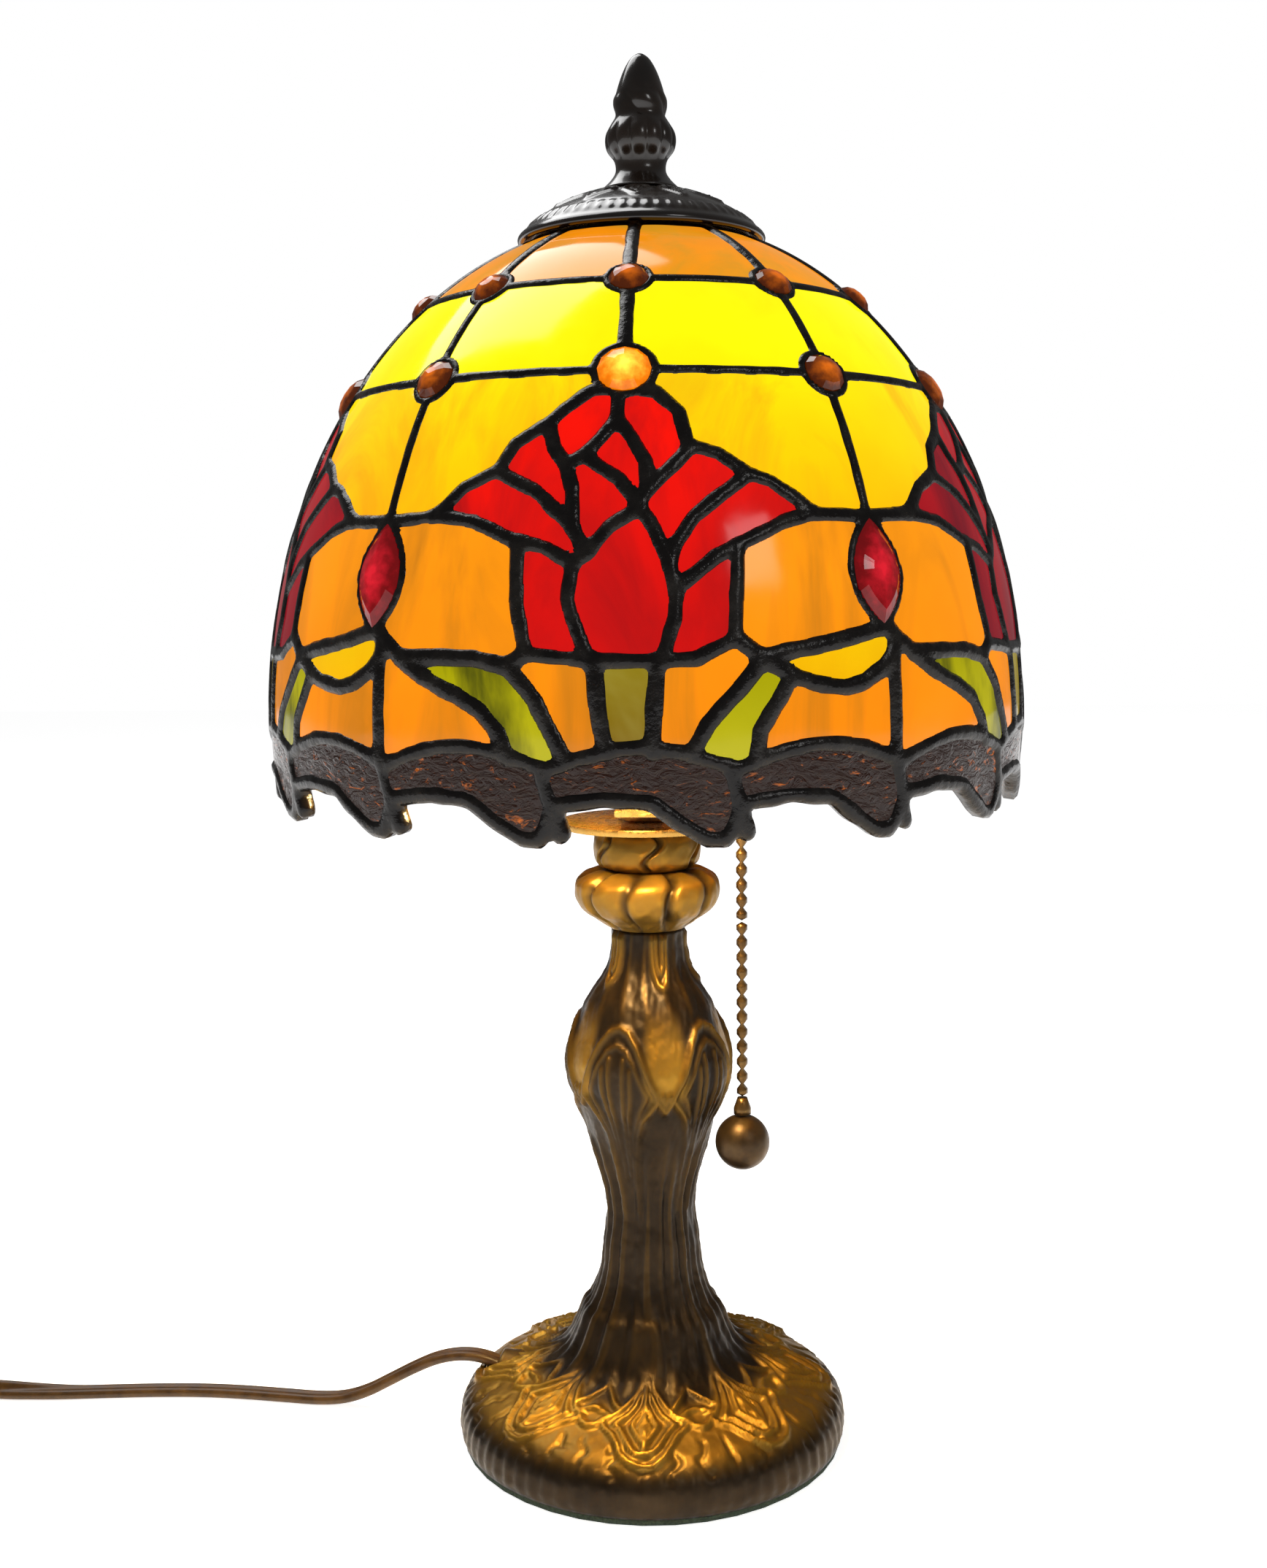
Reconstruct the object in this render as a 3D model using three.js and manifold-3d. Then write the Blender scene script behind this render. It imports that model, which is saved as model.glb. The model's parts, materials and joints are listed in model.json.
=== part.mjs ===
// Table lamp with a leaded glass dome shade on a cast base, in millimetres, +Z up.
// The origin is the centre of the underside, and -Y is the front, where a tulip faces the viewer.
import * as THREE from 'three';
import { mergeVertices } from 'three/addons/utils/BufferGeometryUtils.js';
import Module from 'manifold-3d';

const wasm = await Module();
wasm.setup();

// ---- Clearances -------------------------------------------------------------------------------
const gap = 0.3;                    // between pieces that rest on or fit in each other
const degree = Math.PI / 180;

// ---- Shade ------------------------------------------------------------------------------------
const shade_radius = 101.6;         // outside of the cames at the widest line
const dome_height = 132;            // from the widest line to where the curve closes on the axis
const shade_z = 205;                // height of the widest line
const sectors = 5;                  // one tulip in each
const scallops_per_sector = 3;
const scallop_offset = -33.5;       // azimuth in degrees where a sector's first scallop starts
const came_width = 4.6;
const came_proud = 0.8;             // how far the cames stand out of the glass on each side
const glass_thickness = 3;
const aperture_radius = 27;         // top hole of the shade
const crown_latitude = 72.5;        // centre of the came around the top hole
const shell_low_latitude = -14;     // below the deepest scallop
const dome_segments = 30;
const dome_rows = 5;

// ---- Cap, spider and finial -------------------------------------------------------------------
const spider_ring_width = 4.6;
const spider_thickness = 1.7;
const spider_hub_radius = 8.5;
const stud_radius = 3.1;
const stud_hole_radius = stud_radius + 0.35;
const cap_radius = 33;
const cap_rise = 13.2;              // from the rim to the flat under the finial
const cap_wall = 1;
const cap_rim = 1.8;                // flat width that rests on the shade
const vent_count = 8;
const vent_radius = 1.6;
const finial_height = 35.6;
const finial_radius = 9;
const insert_height = 12;
const insert_wall = 1.1;

// ---- Cast base --------------------------------------------------------------------------------
const foot_radius = 54.7;
const waist_radius = 13.3;
const belly_radius = 23.3;
const neck_radius = 10.1;
const belly_z = 107;
const stem_top_z = 146.3;
const casting_wall = 3.2;
const cavity_ceiling_z = 24;        // underside of the boss that the rod is bolted to
const pad_thickness = 1.5;
const cover_thickness = 1;
const casting_sides = 30;           // flats around the casting and the cover that fits inside it
const flute_count = 10;
const flute_depth = 0.35;

// ---- Collars, plate, rod and nuts -------------------------------------------------------------
const rod_radius = 5;
const rod_bore_radius = 3.4;
const rod_hole_radius = rod_radius + gap;
const rod_below_boss = 10;
const rod_into_socket = 8;
const nut_radius = 8.4;             // across the corners of the hexagon
const nut_height = 3.5;
const petal_collar_height = 16.2;
const petal_collar_radius = 20.1;
const upper_collar_height = 11.3;
const upper_collar_radius = 15;
const petal_count = 5;
const plate_radius = 24;
const plate_thickness = 1.8;

// ---- Harp -------------------------------------------------------------------------------------
const saddle_thickness = 1.6;
const saddle_width = 14;
const saddle_reach = 24;            // from the axis to each leg of the harp
const ear_height = 10;
const ear_width = 10;
const harp_wire_radius = 2;
const harp_bow = 37;                // half width of the harp around the bulb
const harp_boss_radius = 7;
const harp_boss_height = 8;

// ---- Lamp holder, switch and bulb -------------------------------------------------------------
const socket_cap_height = 20.5;
const socket_radius = 17.1;         // outside of the metal shell
const socket_length = 44.6;
const sheet_wall = 0.8;
const liner_length = 39;
const block_height = 22.5;          // the moulded switch block
const notch_height = 8;
const screw_shell_radius = 14;
const screw_shell_wall = 0.7;
const screw_shell_length = 17.7;
const bulb_screw_radius = 13;
const bulb_screw_length = 21;
const bulb_neck_radius = 12.6;
const bulb_radius = 24;
const bulb_glass_length = 68;
const bulb_wall = 0.8;

// ---- Pull chain -------------------------------------------------------------------------------
const chain_azimuth = 64.3;         // degrees from the front, towards the right
const chain_reach = 29;             // from the lamp's axis to the hanging chain
const chain_guide_z = 29.5;         // above the bottom of the lamp holder
const chain_guide_radius = 3;
const chain_mouth_radius = 4.6;
const bead_radius = 1.5;
const bead_pitch = 4.13;
const link_radius = 0.45;
const top_link_beads = 2;
const upper_chain_beads = 13;
const lower_chain_beads = 12;
const coupling_height = 4.5;
const coupling_radius = 2.4;
const ball_radius = 7.65;
const lever_length = 8;
const lever_pivot = 9;              // from the lamp's axis to the lever's pivot, along the chain
const lever_thickness = 1.6;
const lever_tip_radius = 1.2;
const lever_lean = 0.375;           // radians back from square to the chain, half of its travel

// ---- Cord and plug ----------------------------------------------------------------------------
const cord_width = 5.6;
const cord_thickness = 2.8;
const cord_hole_width = 7.8;
const cord_hole_height = 5.2;
const cord_hole_lip = 1.7;
const coil_mean_radius = 33.5;
const coil_band = 12.2;             // radial width of the wound turns
const coil_height = 11.6;
const outermost_turn = 1.6;         // from the coil's outside to the middle of its outermost turn
const coil_centre = [-230, -28];
const tie_width = 6;
const tie_thickness = 0.8;
const tie_slack = 0.6;              // each side, because the wound turns curve under the straight band
const plug_size = [24, 21, 14];
const plug_nose_length = 8;
const blade_size = [1.5, 17, 6.35];
const blade_spacing = 12.7;

// The cord's way from inside the foot, out of its hole, over the rim and along the table.
const cord_route = [
  [-13.9, 1.5, 9.5], [-23.9, 2.5, 9.8], [-31.8, 3.3, 11.3], [-37.8, 4.0, 13.5], [-43.3, 4.5, 15.9],
  [-47.7, 5.0, 17.5], [-52.7, 5.5, 18.3], [-58.2, 6.1, 17.9], [-64.1, 6.7, 16.2], [-70.6, 7.4, 13.0],
  [-77.6, 8.2, 9.0], [-84.5, 8.9, 5.2], [-91.5, 9.6, 2.7], [-99.5, 10.5, 1.7], [-110, 11.8, 1.6],
  [-122, 13.2, 1.6], [-135, 14.0, 1.6], [-149, 13.6, 1.6], [-163, 12.4, 1.6], [-177, 11.0, 1.6],
  [-190, 10.2, 1.6], [-201, 10.0, 1.6], [-211.7, 10.0, 1.6],
];
const cord_hole_point = [-43.3, 4.5, 15.9];
const cord_hole_slope = 20;         // degrees that the hole's axis climbs outwards

// ---- Heights that follow from the sizes above --------------------------------------------------
const petal_collar_z = stem_top_z + gap;
const upper_collar_z = petal_collar_z + petal_collar_height + gap;
const plate_z = upper_collar_z + upper_collar_height + gap;
const top_nut_z = plate_z + plate_thickness + gap;
const saddle_z = top_nut_z + nut_height + gap;
const socket_z = saddle_z + saddle_thickness + gap;
const socket_inner_radius = socket_radius - sheet_wall;
const liner_radius = socket_inner_radius - gap;
const block_radius = liner_radius - sheet_wall - gap;
const shell_bottom_z = socket_z + socket_cap_height - 4.6;
const block_z = shell_bottom_z + 1.1;
const screw_shell_z = block_z + block_height + gap;
const bulb_z = screw_shell_z + 2.6;
const bulb_glass_z = bulb_z + bulb_screw_length + gap;
const dome_z = (radius) => shade_z + dome_height * Math.sqrt(1 - (radius / shade_radius) ** 2);
const crown_z = dome_z(aperture_radius);
const shell_depth = glass_thickness + 2 * came_proud;
const aperture_low_radius = aperture_radius * (1 - shell_depth / shade_radius);
const hub_z = crown_z - spider_thickness + 0.15;
const harp_top_z = hub_z - gap;
const cap_z = dome_z(cap_radius - cap_rim) + gap;
const finial_z = cap_z + cap_rise + gap;

// ---- Materials --------------------------------------------------------------------------------
const finish = (color, roughness, metalness) =>
  new THREE.MeshStandardMaterial({ color, roughness, metalness });
const bronze = finish('#3a2c1c', 0.42, 0.85);
const dark_enamel = finish('#241a14', 0.25, 0.6);
const solder = finish('#26211e', 0.35, 0.8);
const brass = finish('#b08d3c', 0.3, 1);
const steel = finish('#9a9a98', 0.35, 1);
const zinc = finish('#8d8f90', 0.45, 1);
const felt = finish('#2d3b2b', 0.95, 0);
const card = finish('#6b4a2c', 0.9, 0);
const phenolic = finish('#1e1a18', 0.5, 0);
const bulb_coating = finish('#fff2d6', 0.3, 0);
const cord_plastic = finish('#5b3f1e', 0.45, 0);
const amber_glass = finish('#ffd21c', 0.15, 0);
const red_glass = finish('#d31212', 0.15, 0);
const orange_glass = finish('#ff930a', 0.15, 0);
const brown_glass = finish('#4a2308', 0.15, 0);

// ---- Solids -----------------------------------------------------------------------------------
// A closed geometry with shared vertices and its faces pointing out.
function closed(geometry) {
  const bare = new THREE.BufferGeometry();
  bare.setAttribute('position', geometry.getAttribute('position'));
  if (geometry.index) bare.setIndex(geometry.index);
  const merged = mergeVertices(bare, 1e-4);
  const place = merged.getAttribute('position');
  const index = merged.index.array;
  const a = new THREE.Vector3();
  const b = new THREE.Vector3();
  const c = new THREE.Vector3();
  const kept = [];
  let volume = 0;
  for (let i = 0; i < index.length; i += 3) {
    const [p, q, r] = [index[i], index[i + 1], index[i + 2]];
    if (p === q || q === r || r === p) continue;
    a.fromBufferAttribute(place, p);
    b.fromBufferAttribute(place, q);
    c.fromBufferAttribute(place, r);
    volume += a.dot(b.cross(c));
    kept.push(p, q, r);
  }
  if (volume < 0) kept.reverse();
  merged.setIndex(kept);
  return merged;
}

function solid(geometry) {
  const shape = closed(geometry);
  return new wasm.Manifold(new wasm.Mesh({
    numProp: 3,
    vertProperties: new Float32Array(shape.getAttribute('position').array),
    triVerts: new Uint32Array(shape.index.array),
  }));
}

function geometry_of(manifold) {
  const mesh = manifold.getMesh();
  const geometry = new THREE.BufferGeometry();
  geometry.setAttribute('position', new THREE.BufferAttribute(new Float32Array(mesh.vertProperties), 3));
  geometry.setIndex(new THREE.BufferAttribute(new Uint32Array(mesh.triVerts), 1));
  return geometry;
}

// A profile of [radius, height] pairs turned about Z. It starts and ends on the axis, or is a loop.
function turned(profile, segments = 32) {
  const points = profile.map(([r, z]) => new THREE.Vector2(r, z));
  return closed(new THREE.LatheGeometry(points, segments).rotateX(Math.PI / 2));
}

function turned_loop(profile, segments = 32) {
  return turned([...profile, profile[0]], segments);
}

function ring(inner, outer, bottom, top, segments = 32) {
  return turned_loop([[inner, bottom], [outer, bottom], [outer, top], [inner, top]], segments);
}

// A loop profile turned about Z whose radius is scaled by factor(azimuth, radius, height).
function turned_with_relief(profile, segments, factor) {
  const position = [];
  const index = [];
  const rows = profile.length;
  for (const [r, z] of profile) {
    for (let k = 0; k < segments; k += 1) {
      const turn = (2 * Math.PI * k) / segments;
      const reach = r * factor(turn, r, z);
      position.push(reach * Math.sin(turn), -reach * Math.cos(turn), z);
    }
  }
  for (let i = 0; i < rows; i += 1) {
    for (let k = 0; k < segments; k += 1) {
      const here = i * segments + k;
      const beside = i * segments + ((k + 1) % segments);
      const above = ((i + 1) % rows) * segments + k;
      const corner = ((i + 1) % rows) * segments + ((k + 1) % segments);
      index.push(here, beside, corner, here, corner, above);
    }
  }
  const geometry = new THREE.BufferGeometry();
  geometry.setAttribute('position', new THREE.Float32BufferAttribute(position, 3));
  geometry.setIndex(index);
  return closed(geometry);
}

function box(width, depth, height, x, y, z) {
  return new THREE.BoxGeometry(width, depth, height).translate(x, y, z);
}

// A cylinder along Z from bottom to top.
function rod_solid(radius, bottom, top, segments = 16) {
  return new THREE.CylinderGeometry(radius, radius, top - bottom, segments)
    .rotateX(Math.PI / 2).translate(0, 0, (top + bottom) / 2);
}

// A tube of elliptical section along a smooth curve. Its upright side is exact where the curve is level.
function tube(points, half_across, half_upright, sides, steps) {
  const section = new THREE.Shape();
  for (let k = 0; k < sides; k += 1) {
    const turn = (2 * Math.PI * (k + 0.5)) / sides;
    const move = k ? 'lineTo' : 'moveTo';
    section[move](half_upright * Math.cos(turn), half_across * Math.sin(turn));
  }
  const extrudePath = new THREE.CatmullRomCurve3(points.map((p) => new THREE.Vector3(...p)));
  return closed(new THREE.ExtrudeGeometry(section, { steps, bevelEnabled: false, extrudePath }));
}

const smooth = (points, count) => new THREE.SplineCurve(points.map(([r, z]) => new THREE.Vector2(r, z)))
  .getPoints(count).map((p) => [p.x, p.y]);

// ---- Places on the dome -----------------------------------------------------------------------
// Azimuth is in degrees from the front, positive to the right as the front is faced. Latitude is the
// angle of the ellipse that the dome turns: 0 at the widest line and 90 on the axis.
function on_dome(azimuth, latitude, scale = 1) {
  const r = shade_radius * Math.cos(latitude * degree) * scale;
  return [
    r * Math.sin(azimuth * degree),
    -r * Math.cos(azimuth * degree),
    shade_z + dome_height * Math.sin(latitude * degree) * scale,
  ];
}

function dome_shell(low, high, outer_depth, inner_depth) {
  const arc = (depth) => Array.from({ length: dome_rows + 1 }, (_, i) => {
    const latitude = (low + ((high - low) * i) / dome_rows) * degree;
    return [
      (shade_radius - depth) * Math.cos(latitude),
      shade_z + (dome_height - depth) * Math.sin(latitude),
    ];
  });
  return turned_loop([...arc(outer_depth), ...arc(inner_depth).reverse()], dome_segments);
}

// Adds points so that no side of an outline spans more than the given degrees of azimuth.
function subdivided(outline, span = 12) {
  return outline.flatMap(([azimuth, latitude], i) => {
    const [next_azimuth, next_latitude] = outline[(i + 1) % outline.length];
    const count = Math.max(1, Math.ceil(Math.abs(next_azimuth - azimuth) / span));
    return Array.from({ length: count }, (_, k) => [
      azimuth + ((next_azimuth - azimuth) * k) / count,
      latitude + ((next_latitude - latitude) * k) / count,
    ]);
  });
}

// Moves each side of an anticlockwise outline inwards by a distance measured on the dome.
function inset(outline, distance) {
  return outline.map(([azimuth, latitude], i) => {
    const across = shade_radius * Math.cos(latitude * degree) * degree;
    const up = degree * Math.hypot(
      shade_radius * Math.sin(latitude * degree),
      dome_height * Math.cos(latitude * degree),
    );
    const step = ([to_azimuth, to_latitude], sign) => new THREE.Vector2(
      sign * (to_azimuth - azimuth) * across,
      sign * (to_latitude - latitude) * up,
    ).normalize();
    const before = step(outline[(i + outline.length - 1) % outline.length], -1);
    const after = step(outline[(i + 1) % outline.length], 1);
    const normal_before = new THREE.Vector2(-before.y, before.x);
    const normal_after = new THREE.Vector2(-after.y, after.x);
    const bisector = normal_before.add(normal_after).normalize();
    const reach = distance / Math.max(0.35, bisector.dot(normal_after));
    return [azimuth + (bisector.x * reach) / across, latitude + (bisector.y * reach) / up];
  });
}

// A wedge whose sides run from the dome's centre through the outline.
function wedge(outline) {
  const inner_scale = 0.8;
  const outer_scale = 1.6;
  const count = outline.length;
  const flat = outline.map(([azimuth, latitude]) => new THREE.Vector2(azimuth, latitude));
  const triangles = THREE.ShapeUtils.triangulateShape(flat, []);
  const position = [inner_scale, outer_scale].flatMap((scale) =>
    outline.flatMap(([azimuth, latitude]) => on_dome(azimuth, latitude, scale)));
  const index = [];
  for (const [a, b, c] of triangles) {
    index.push(c, b, a, a + count, b + count, c + count);
  }
  for (let i = 0; i < count; i += 1) {
    const next = (i + 1) % count;
    index.push(i, next, next + count, i, next + count, i + count);
  }
  const geometry = new THREE.BufferGeometry();
  geometry.setAttribute('position', new THREE.Float32BufferAttribute(position, 3));
  geometry.setIndex(index);
  return solid(geometry);
}

// ---- Outlines of the glass fields ---------------------------------------------------------------
// They run along the middle of the cames, as [azimuth, latitude] from the axis of a sector's tulip.
const sector_angle = 360 / sectors;
const tulip_right = [
  [0, 37.2], [5.2, 36.9], [8.6, 34.4], [9.6, 30.5], [14, 29.4], [18, 27.2], [21.3, 26.4], [27.5, 23],
];
const tulip_left = [
  [-27.8, 23.2], [-23.5, 26.1], [-18.3, 28], [-16.3, 30.9], [-11.4, 33.2], [-9.2, 34.9], [-5.2, 37.1],
];
const cup_right = [[22.5, 22.1], [15.6, 19.7], [15, 14.5], [14.6, 10.5], [9.5, 8.6], [4.2, 8.4]];
const cup_left = [[-3.4, 8.5], [-12.2, 9.2], [-13.7, 14], [-14.1, 20.2], [-21, 22.5]];
const stem_azimuth = 4.2;

const turned_by = (outline, azimuth) => outline.map(([a, latitude]) => [a + azimuth, latitude]);
const next_tulip = (outline) => turned_by(outline, sector_angle);

const scallop_angle = sector_angle / scallops_per_sector;
const scallop_share = (azimuth) => {
  const turn = (azimuth - scallop_offset) / scallop_angle;
  return turn - Math.floor(turn);
};
const border_latitude = (azimuth) => -2 + 2.2 * Math.sin(Math.PI * scallop_share(azimuth));

// The border's upper line from one azimuth to another, with a point at each crest and valley.
function border_line(from, to) {
  const step = scallop_angle / 2;
  const first = Math.ceil((from - scallop_offset) / step + 0.2);
  const last = Math.floor((to - scallop_offset) / step - 0.2);
  const between = Array.from({ length: last - first + 1 }, (_, i) => scallop_offset + step * (first + i));
  return [from, ...between, to].map((azimuth) => [azimuth, border_latitude(azimuth)]);
}

// A scallop's lower edge as [share of its width, latitude]: shallow on the left, a tip on the right.
const scallop_edge = [[0.03, -6.3], [0.3, -5.6], [0.55, -6], [0.7, -8], [0.85, -9.7], [0.95, -9.8]];

function scallop_line(raise) {
  return Array.from({ length: scallops_per_sector }, (_, k) => scallop_edge.map(([share, latitude]) => [
    scallop_offset + scallop_angle * (k + share),
    latitude + raise,
  ])).flat();
}

const upper_field = [
  ...tulip_right,
  [sector_angle / 2, 23.2],
  ...next_tulip(tulip_left),
  [sector_angle, 37.2],
  [sector_angle, 55],
  [sector_angle, crown_latitude],
  [0, crown_latitude],
  [0, 55],
];
const tulip_field = [...tulip_left, ...tulip_right, ...cup_right, ...cup_left].reverse();
const skirt_field = [
  ...border_line(stem_azimuth, stem_azimuth + sector_angle),
  ...next_tulip([[stem_azimuth, 8.4], ...cup_left, tulip_left[0]]),
  [sector_angle / 2, 23.2],
  tulip_right.at(-1),
  ...cup_right,
];
const edge_came_latitude = 1;       // from the shade's lower edge to the middle of its came
const border_field = [
  ...scallop_line(edge_came_latitude),
  ...border_line(scallop_offset, scallop_offset + sector_angle).reverse(),
];

// Everything below the scalloped edge, over one sector and a little more.
function below_scallops() {
  const low = -30;
  const first = scallop_edge[1][1];
  const start = scallop_offset + scallop_angle * scallop_edge[1][0];
  const edge = scallop_line(0).slice(1);
  const [first_step, end] = next_tulip(scallop_line(0));
  return [
    [start - 1, low], [start + sector_angle / 2, low], [end[0], low],
    end, first_step, ...edge.reverse(), [start - 1, first],
  ];
}

// ---- Glass and cames ----------------------------------------------------------------------------
const fields = [
  ['upper_glass', upper_field, amber_glass],
  ['tulip_glass', tulip_field, red_glass],
  ['skirt_glass', skirt_field, orange_glass],
  ['border_glass', border_field, brown_glass],
];

function make_shade_glass() {
  const glass_low = came_proud;
  const glass_high = came_proud + glass_thickness;
  const top = Math.acos(aperture_radius / shade_radius) / degree;
  const glass_shell = solid(dome_shell(shell_low_latitude, top, glass_low, glass_high));
  let cames = solid(dome_shell(shell_low_latitude, top, 0, shell_depth));
  const pieces = [];
  for (let k = 0; k < sectors; k += 1) {
    const turn = k * sector_angle;
    for (const [name, field, material] of fields) {
      const outline = turned_by(subdivided(field), turn);
      cames = cames.subtract(wedge(inset(outline, came_width / 2)));
      const glass = glass_shell.intersect(wedge(inset(outline, came_width / 2 + gap)));
      pieces.push(new_mesh(`${name}_${k + 1}`, geometry_of(glass), material));
    }
    cames = cames.subtract(wedge(turned_by(subdivided(below_scallops()), turn)));
  }
  pieces.push(new_mesh('came_lattice', geometry_of(cames), solder));
  return pieces;
}

// ---- Shade fittings -----------------------------------------------------------------------------
function make_spider() {
  const outer = aperture_low_radius - gap;
  const inner = outer - spider_ring_width;
  const top = hub_z + spider_thickness;
  let spider = solid(ring(inner, outer, crown_z - 4.2, top, 36));
  spider = spider.add(solid(rod_solid(spider_hub_radius, hub_z, top, 20)));
  for (let k = 0; k < 3; k += 1) {
    const reach = inner + spider_ring_width / 2;
    const arm = box(reach, 5, spider_thickness, reach / 2, 0, hub_z + spider_thickness / 2);
    spider = spider.add(solid(arm.rotateZ((k * 2 * Math.PI) / 3)));
  }
  return geometry_of(spider.subtract(solid(rod_solid(stud_hole_radius, hub_z - 1, top + 1))));
}

function make_cap() {
  const top = cap_z + cap_rise;
  const wall = cap_wall;
  let cap = solid(turned_loop([
    [cap_radius - cap_rim, cap_z], [cap_radius - 0.4, cap_z], [cap_radius, cap_z + 1],
    [cap_radius - 0.5, cap_z + 2], [cap_radius - 2, cap_z + 3.2], [cap_radius - 4, cap_z + 5],
    [cap_radius - 8.3, cap_z + 7.9],
    [cap_radius - 15.1, cap_z + 10.9], [11.5, top - 0.4], [stud_hole_radius, top],
    [stud_hole_radius, top - wall], [11.3, top - wall - 0.4], [cap_radius - 15.5, cap_z + 9.9],
    [cap_radius - 8.9, cap_z + 6.9], [cap_radius - 4.8, cap_z + 4.2], [cap_radius - 2.9, cap_z + 2.4],
  ], 24));
  for (let k = 0; k < vent_count; k += 1) {
    const turn = (2 * Math.PI * (k + 0.5)) / vent_count;
    const hole = rod_solid(vent_radius, cap_z, top + 2, 6);
    hole.translate((cap_radius - 15) * Math.cos(turn), (cap_radius - 15) * Math.sin(turn), 0);
    cap = cap.subtract(solid(hole));
  }
  return geometry_of(cap);
}

const insert_radius = stud_hole_radius + insert_wall;

function make_finial() {
  const bore = insert_radius + gap;
  const bore_height = insert_height + 3;
  const side = smooth([
    [10.6, 0.4], [8, 3], [6.7, 5.4], [7.1, 8.4], [8.7, 11.2], [finial_radius, 14], [8, 17], [6.6, 19.6],
    [6.8, 22.4], [6.2, 26], [4.6, 30.6], [2.8, 33.8],
  ], 15);
  return turned([[0, bore_height], [bore, bore_height], [bore, 0], ...side, [0, finial_height]], 16);
}

// ---- Base -----------------------------------------------------------------------------------------
// A share of 0 is the waist's radius and 1 the foot's, so the flare follows both.
const flare = (share) => waist_radius + (foot_radius - waist_radius) * share;
const casting_z = pad_thickness + gap;

function casting_outside() {
  const foot = [
    [flare(0.985), casting_z], [flare(1), 5], [flare(0.985), 9.5], [flare(0.935), 12.7],
    [flare(0.84), 15.5], [flare(0.69), 17.9], [flare(0.5), 20.5], [flare(0.355), 23.5],
    [flare(0.26), 27], [flare(0.2), 31.5],
    [flare(0.147), 36.8], [flare(0.092), 39.9], [flare(0.041), 45], [flare(0.01), 51],
  ];
  const waist_z = 71;
  const belly = [
    [waist_radius, 58], [waist_radius, waist_z],
    [waist_radius + (belly_radius - waist_radius) * 0.45, waist_z + (belly_z - waist_z) * 0.46],
    [waist_radius + (belly_radius - waist_radius) * 0.8, waist_z + (belly_z - waist_z) * 0.76],
    [belly_radius, belly_z],
  ];
  const neck_z = stem_top_z - 5;
  const shoulder = [
    [neck_radius + (belly_radius - neck_radius) * 0.93, belly_z + (neck_z - belly_z) * 0.21],
    [neck_radius + (belly_radius - neck_radius) * 0.61, belly_z + (neck_z - belly_z) * 0.52],
    [neck_radius + (belly_radius - neck_radius) * 0.13, belly_z + (neck_z - belly_z) * 0.8],
    [neck_radius, neck_z],
  ];
  return [...foot, ...belly, ...shoulder, [neck_radius, stem_top_z]];
}

const cavity_radius = foot_radius - casting_wall - 1;

function casting_inside() {
  return [
    [rod_hole_radius, stem_top_z], [rod_hole_radius, cavity_ceiling_z], [flare(0.1), cavity_ceiling_z],
    [flare(0.3), 21.2], [flare(0.5), 17.2], [flare(0.7), 14.5], [flare(0.84), 12], [cavity_radius, 8.5],
    [cavity_radius, casting_z],
  ];
}

// The cord's hole, as a straight tunnel of elliptical section that climbs outwards through the foot.
function cord_tunnel(half_width, half_height, from, to) {
  const middle = new THREE.Vector3(...cord_hole_point);
  const outwards = middle.clone().setZ(0).normalize();
  const slope = cord_hole_slope * degree;
  const along = outwards.clone().multiplyScalar(Math.cos(slope)).setZ(Math.sin(slope));
  const across = new THREE.Vector3(-outwards.y, outwards.x, 0);
  const up = new THREE.Vector3().crossVectors(across, along);
  const place = new THREE.Matrix4().makeBasis(across, along, up);
  place.setPosition(middle.addScaledVector(along, (from + to) / 2));
  const tunnel = new THREE.CylinderGeometry(1, 1, to - from, 14);
  return solid(tunnel.scale(half_width, 1, half_height).applyMatrix4(place));
}

function make_casting() {
  const flutes = (turn, r, z) => {
    const height_share = Math.max(0, 1 - ((z - 60) / 42) ** 2);
    const depth = r > rod_hole_radius + 1 && z > 26 ? (flute_depth * height_share) / r : 0;
    return 1 - depth + depth * Math.cos(flute_count * turn);
  };
  const profile = [...casting_outside(), ...casting_inside()];
  const half_width = cord_hole_width / 2;
  const half_height = cord_hole_height / 2;
  const lip = cord_tunnel(half_width + cord_hole_lip, half_height + cord_hole_lip, -3, 1.2);
  return geometry_of(solid(turned_with_relief(profile, casting_sides, flutes))
    .add(lip)
    .subtract(cord_tunnel(half_width, half_height, -9, 9)));
}

function make_nut() {
  const outline = new THREE.Shape();
  for (let k = 0; k < 6; k += 1) {
    const turn = (k * Math.PI) / 3;
    const move = k ? 'lineTo' : 'moveTo';
    outline[move](nut_radius * Math.cos(turn), nut_radius * Math.sin(turn));
  }
  outline.holes.push(new THREE.Path().absarc(0, 0, rod_hole_radius, 0, 2 * Math.PI, true));
  const options = { depth: nut_height, bevelEnabled: false, curveSegments: 10 };
  return closed(new THREE.ExtrudeGeometry(outline, options));
}

const make_plate = () => ring(rod_hole_radius, plate_radius, 0, plate_thickness, 36);

function make_petal_collar() {
  const r = petal_collar_radius;
  const h = petal_collar_height;
  const outside = [
    [neck_radius + 0.6, 0], [r - 6.6, 0.15 * h], [r - 2.5, 0.33 * h], [r - 0.5, 0.52 * h], [r, 0.7 * h],
    [r - 1.2, 0.86 * h], [r - 5, 0.98 * h], [r - 8.5, h],
  ];
  const petals = (turn, radius) => {
    const crease = Math.abs(Math.sin((petal_count * turn) / 2 + 0.9)) ** 0.6;
    return radius > rod_hole_radius + 1 ? 0.86 + 0.14 * crease : 1;
  };
  return turned_with_relief([...outside, [rod_hole_radius, h], [rod_hole_radius, 0]], 30, petals);
}

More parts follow.
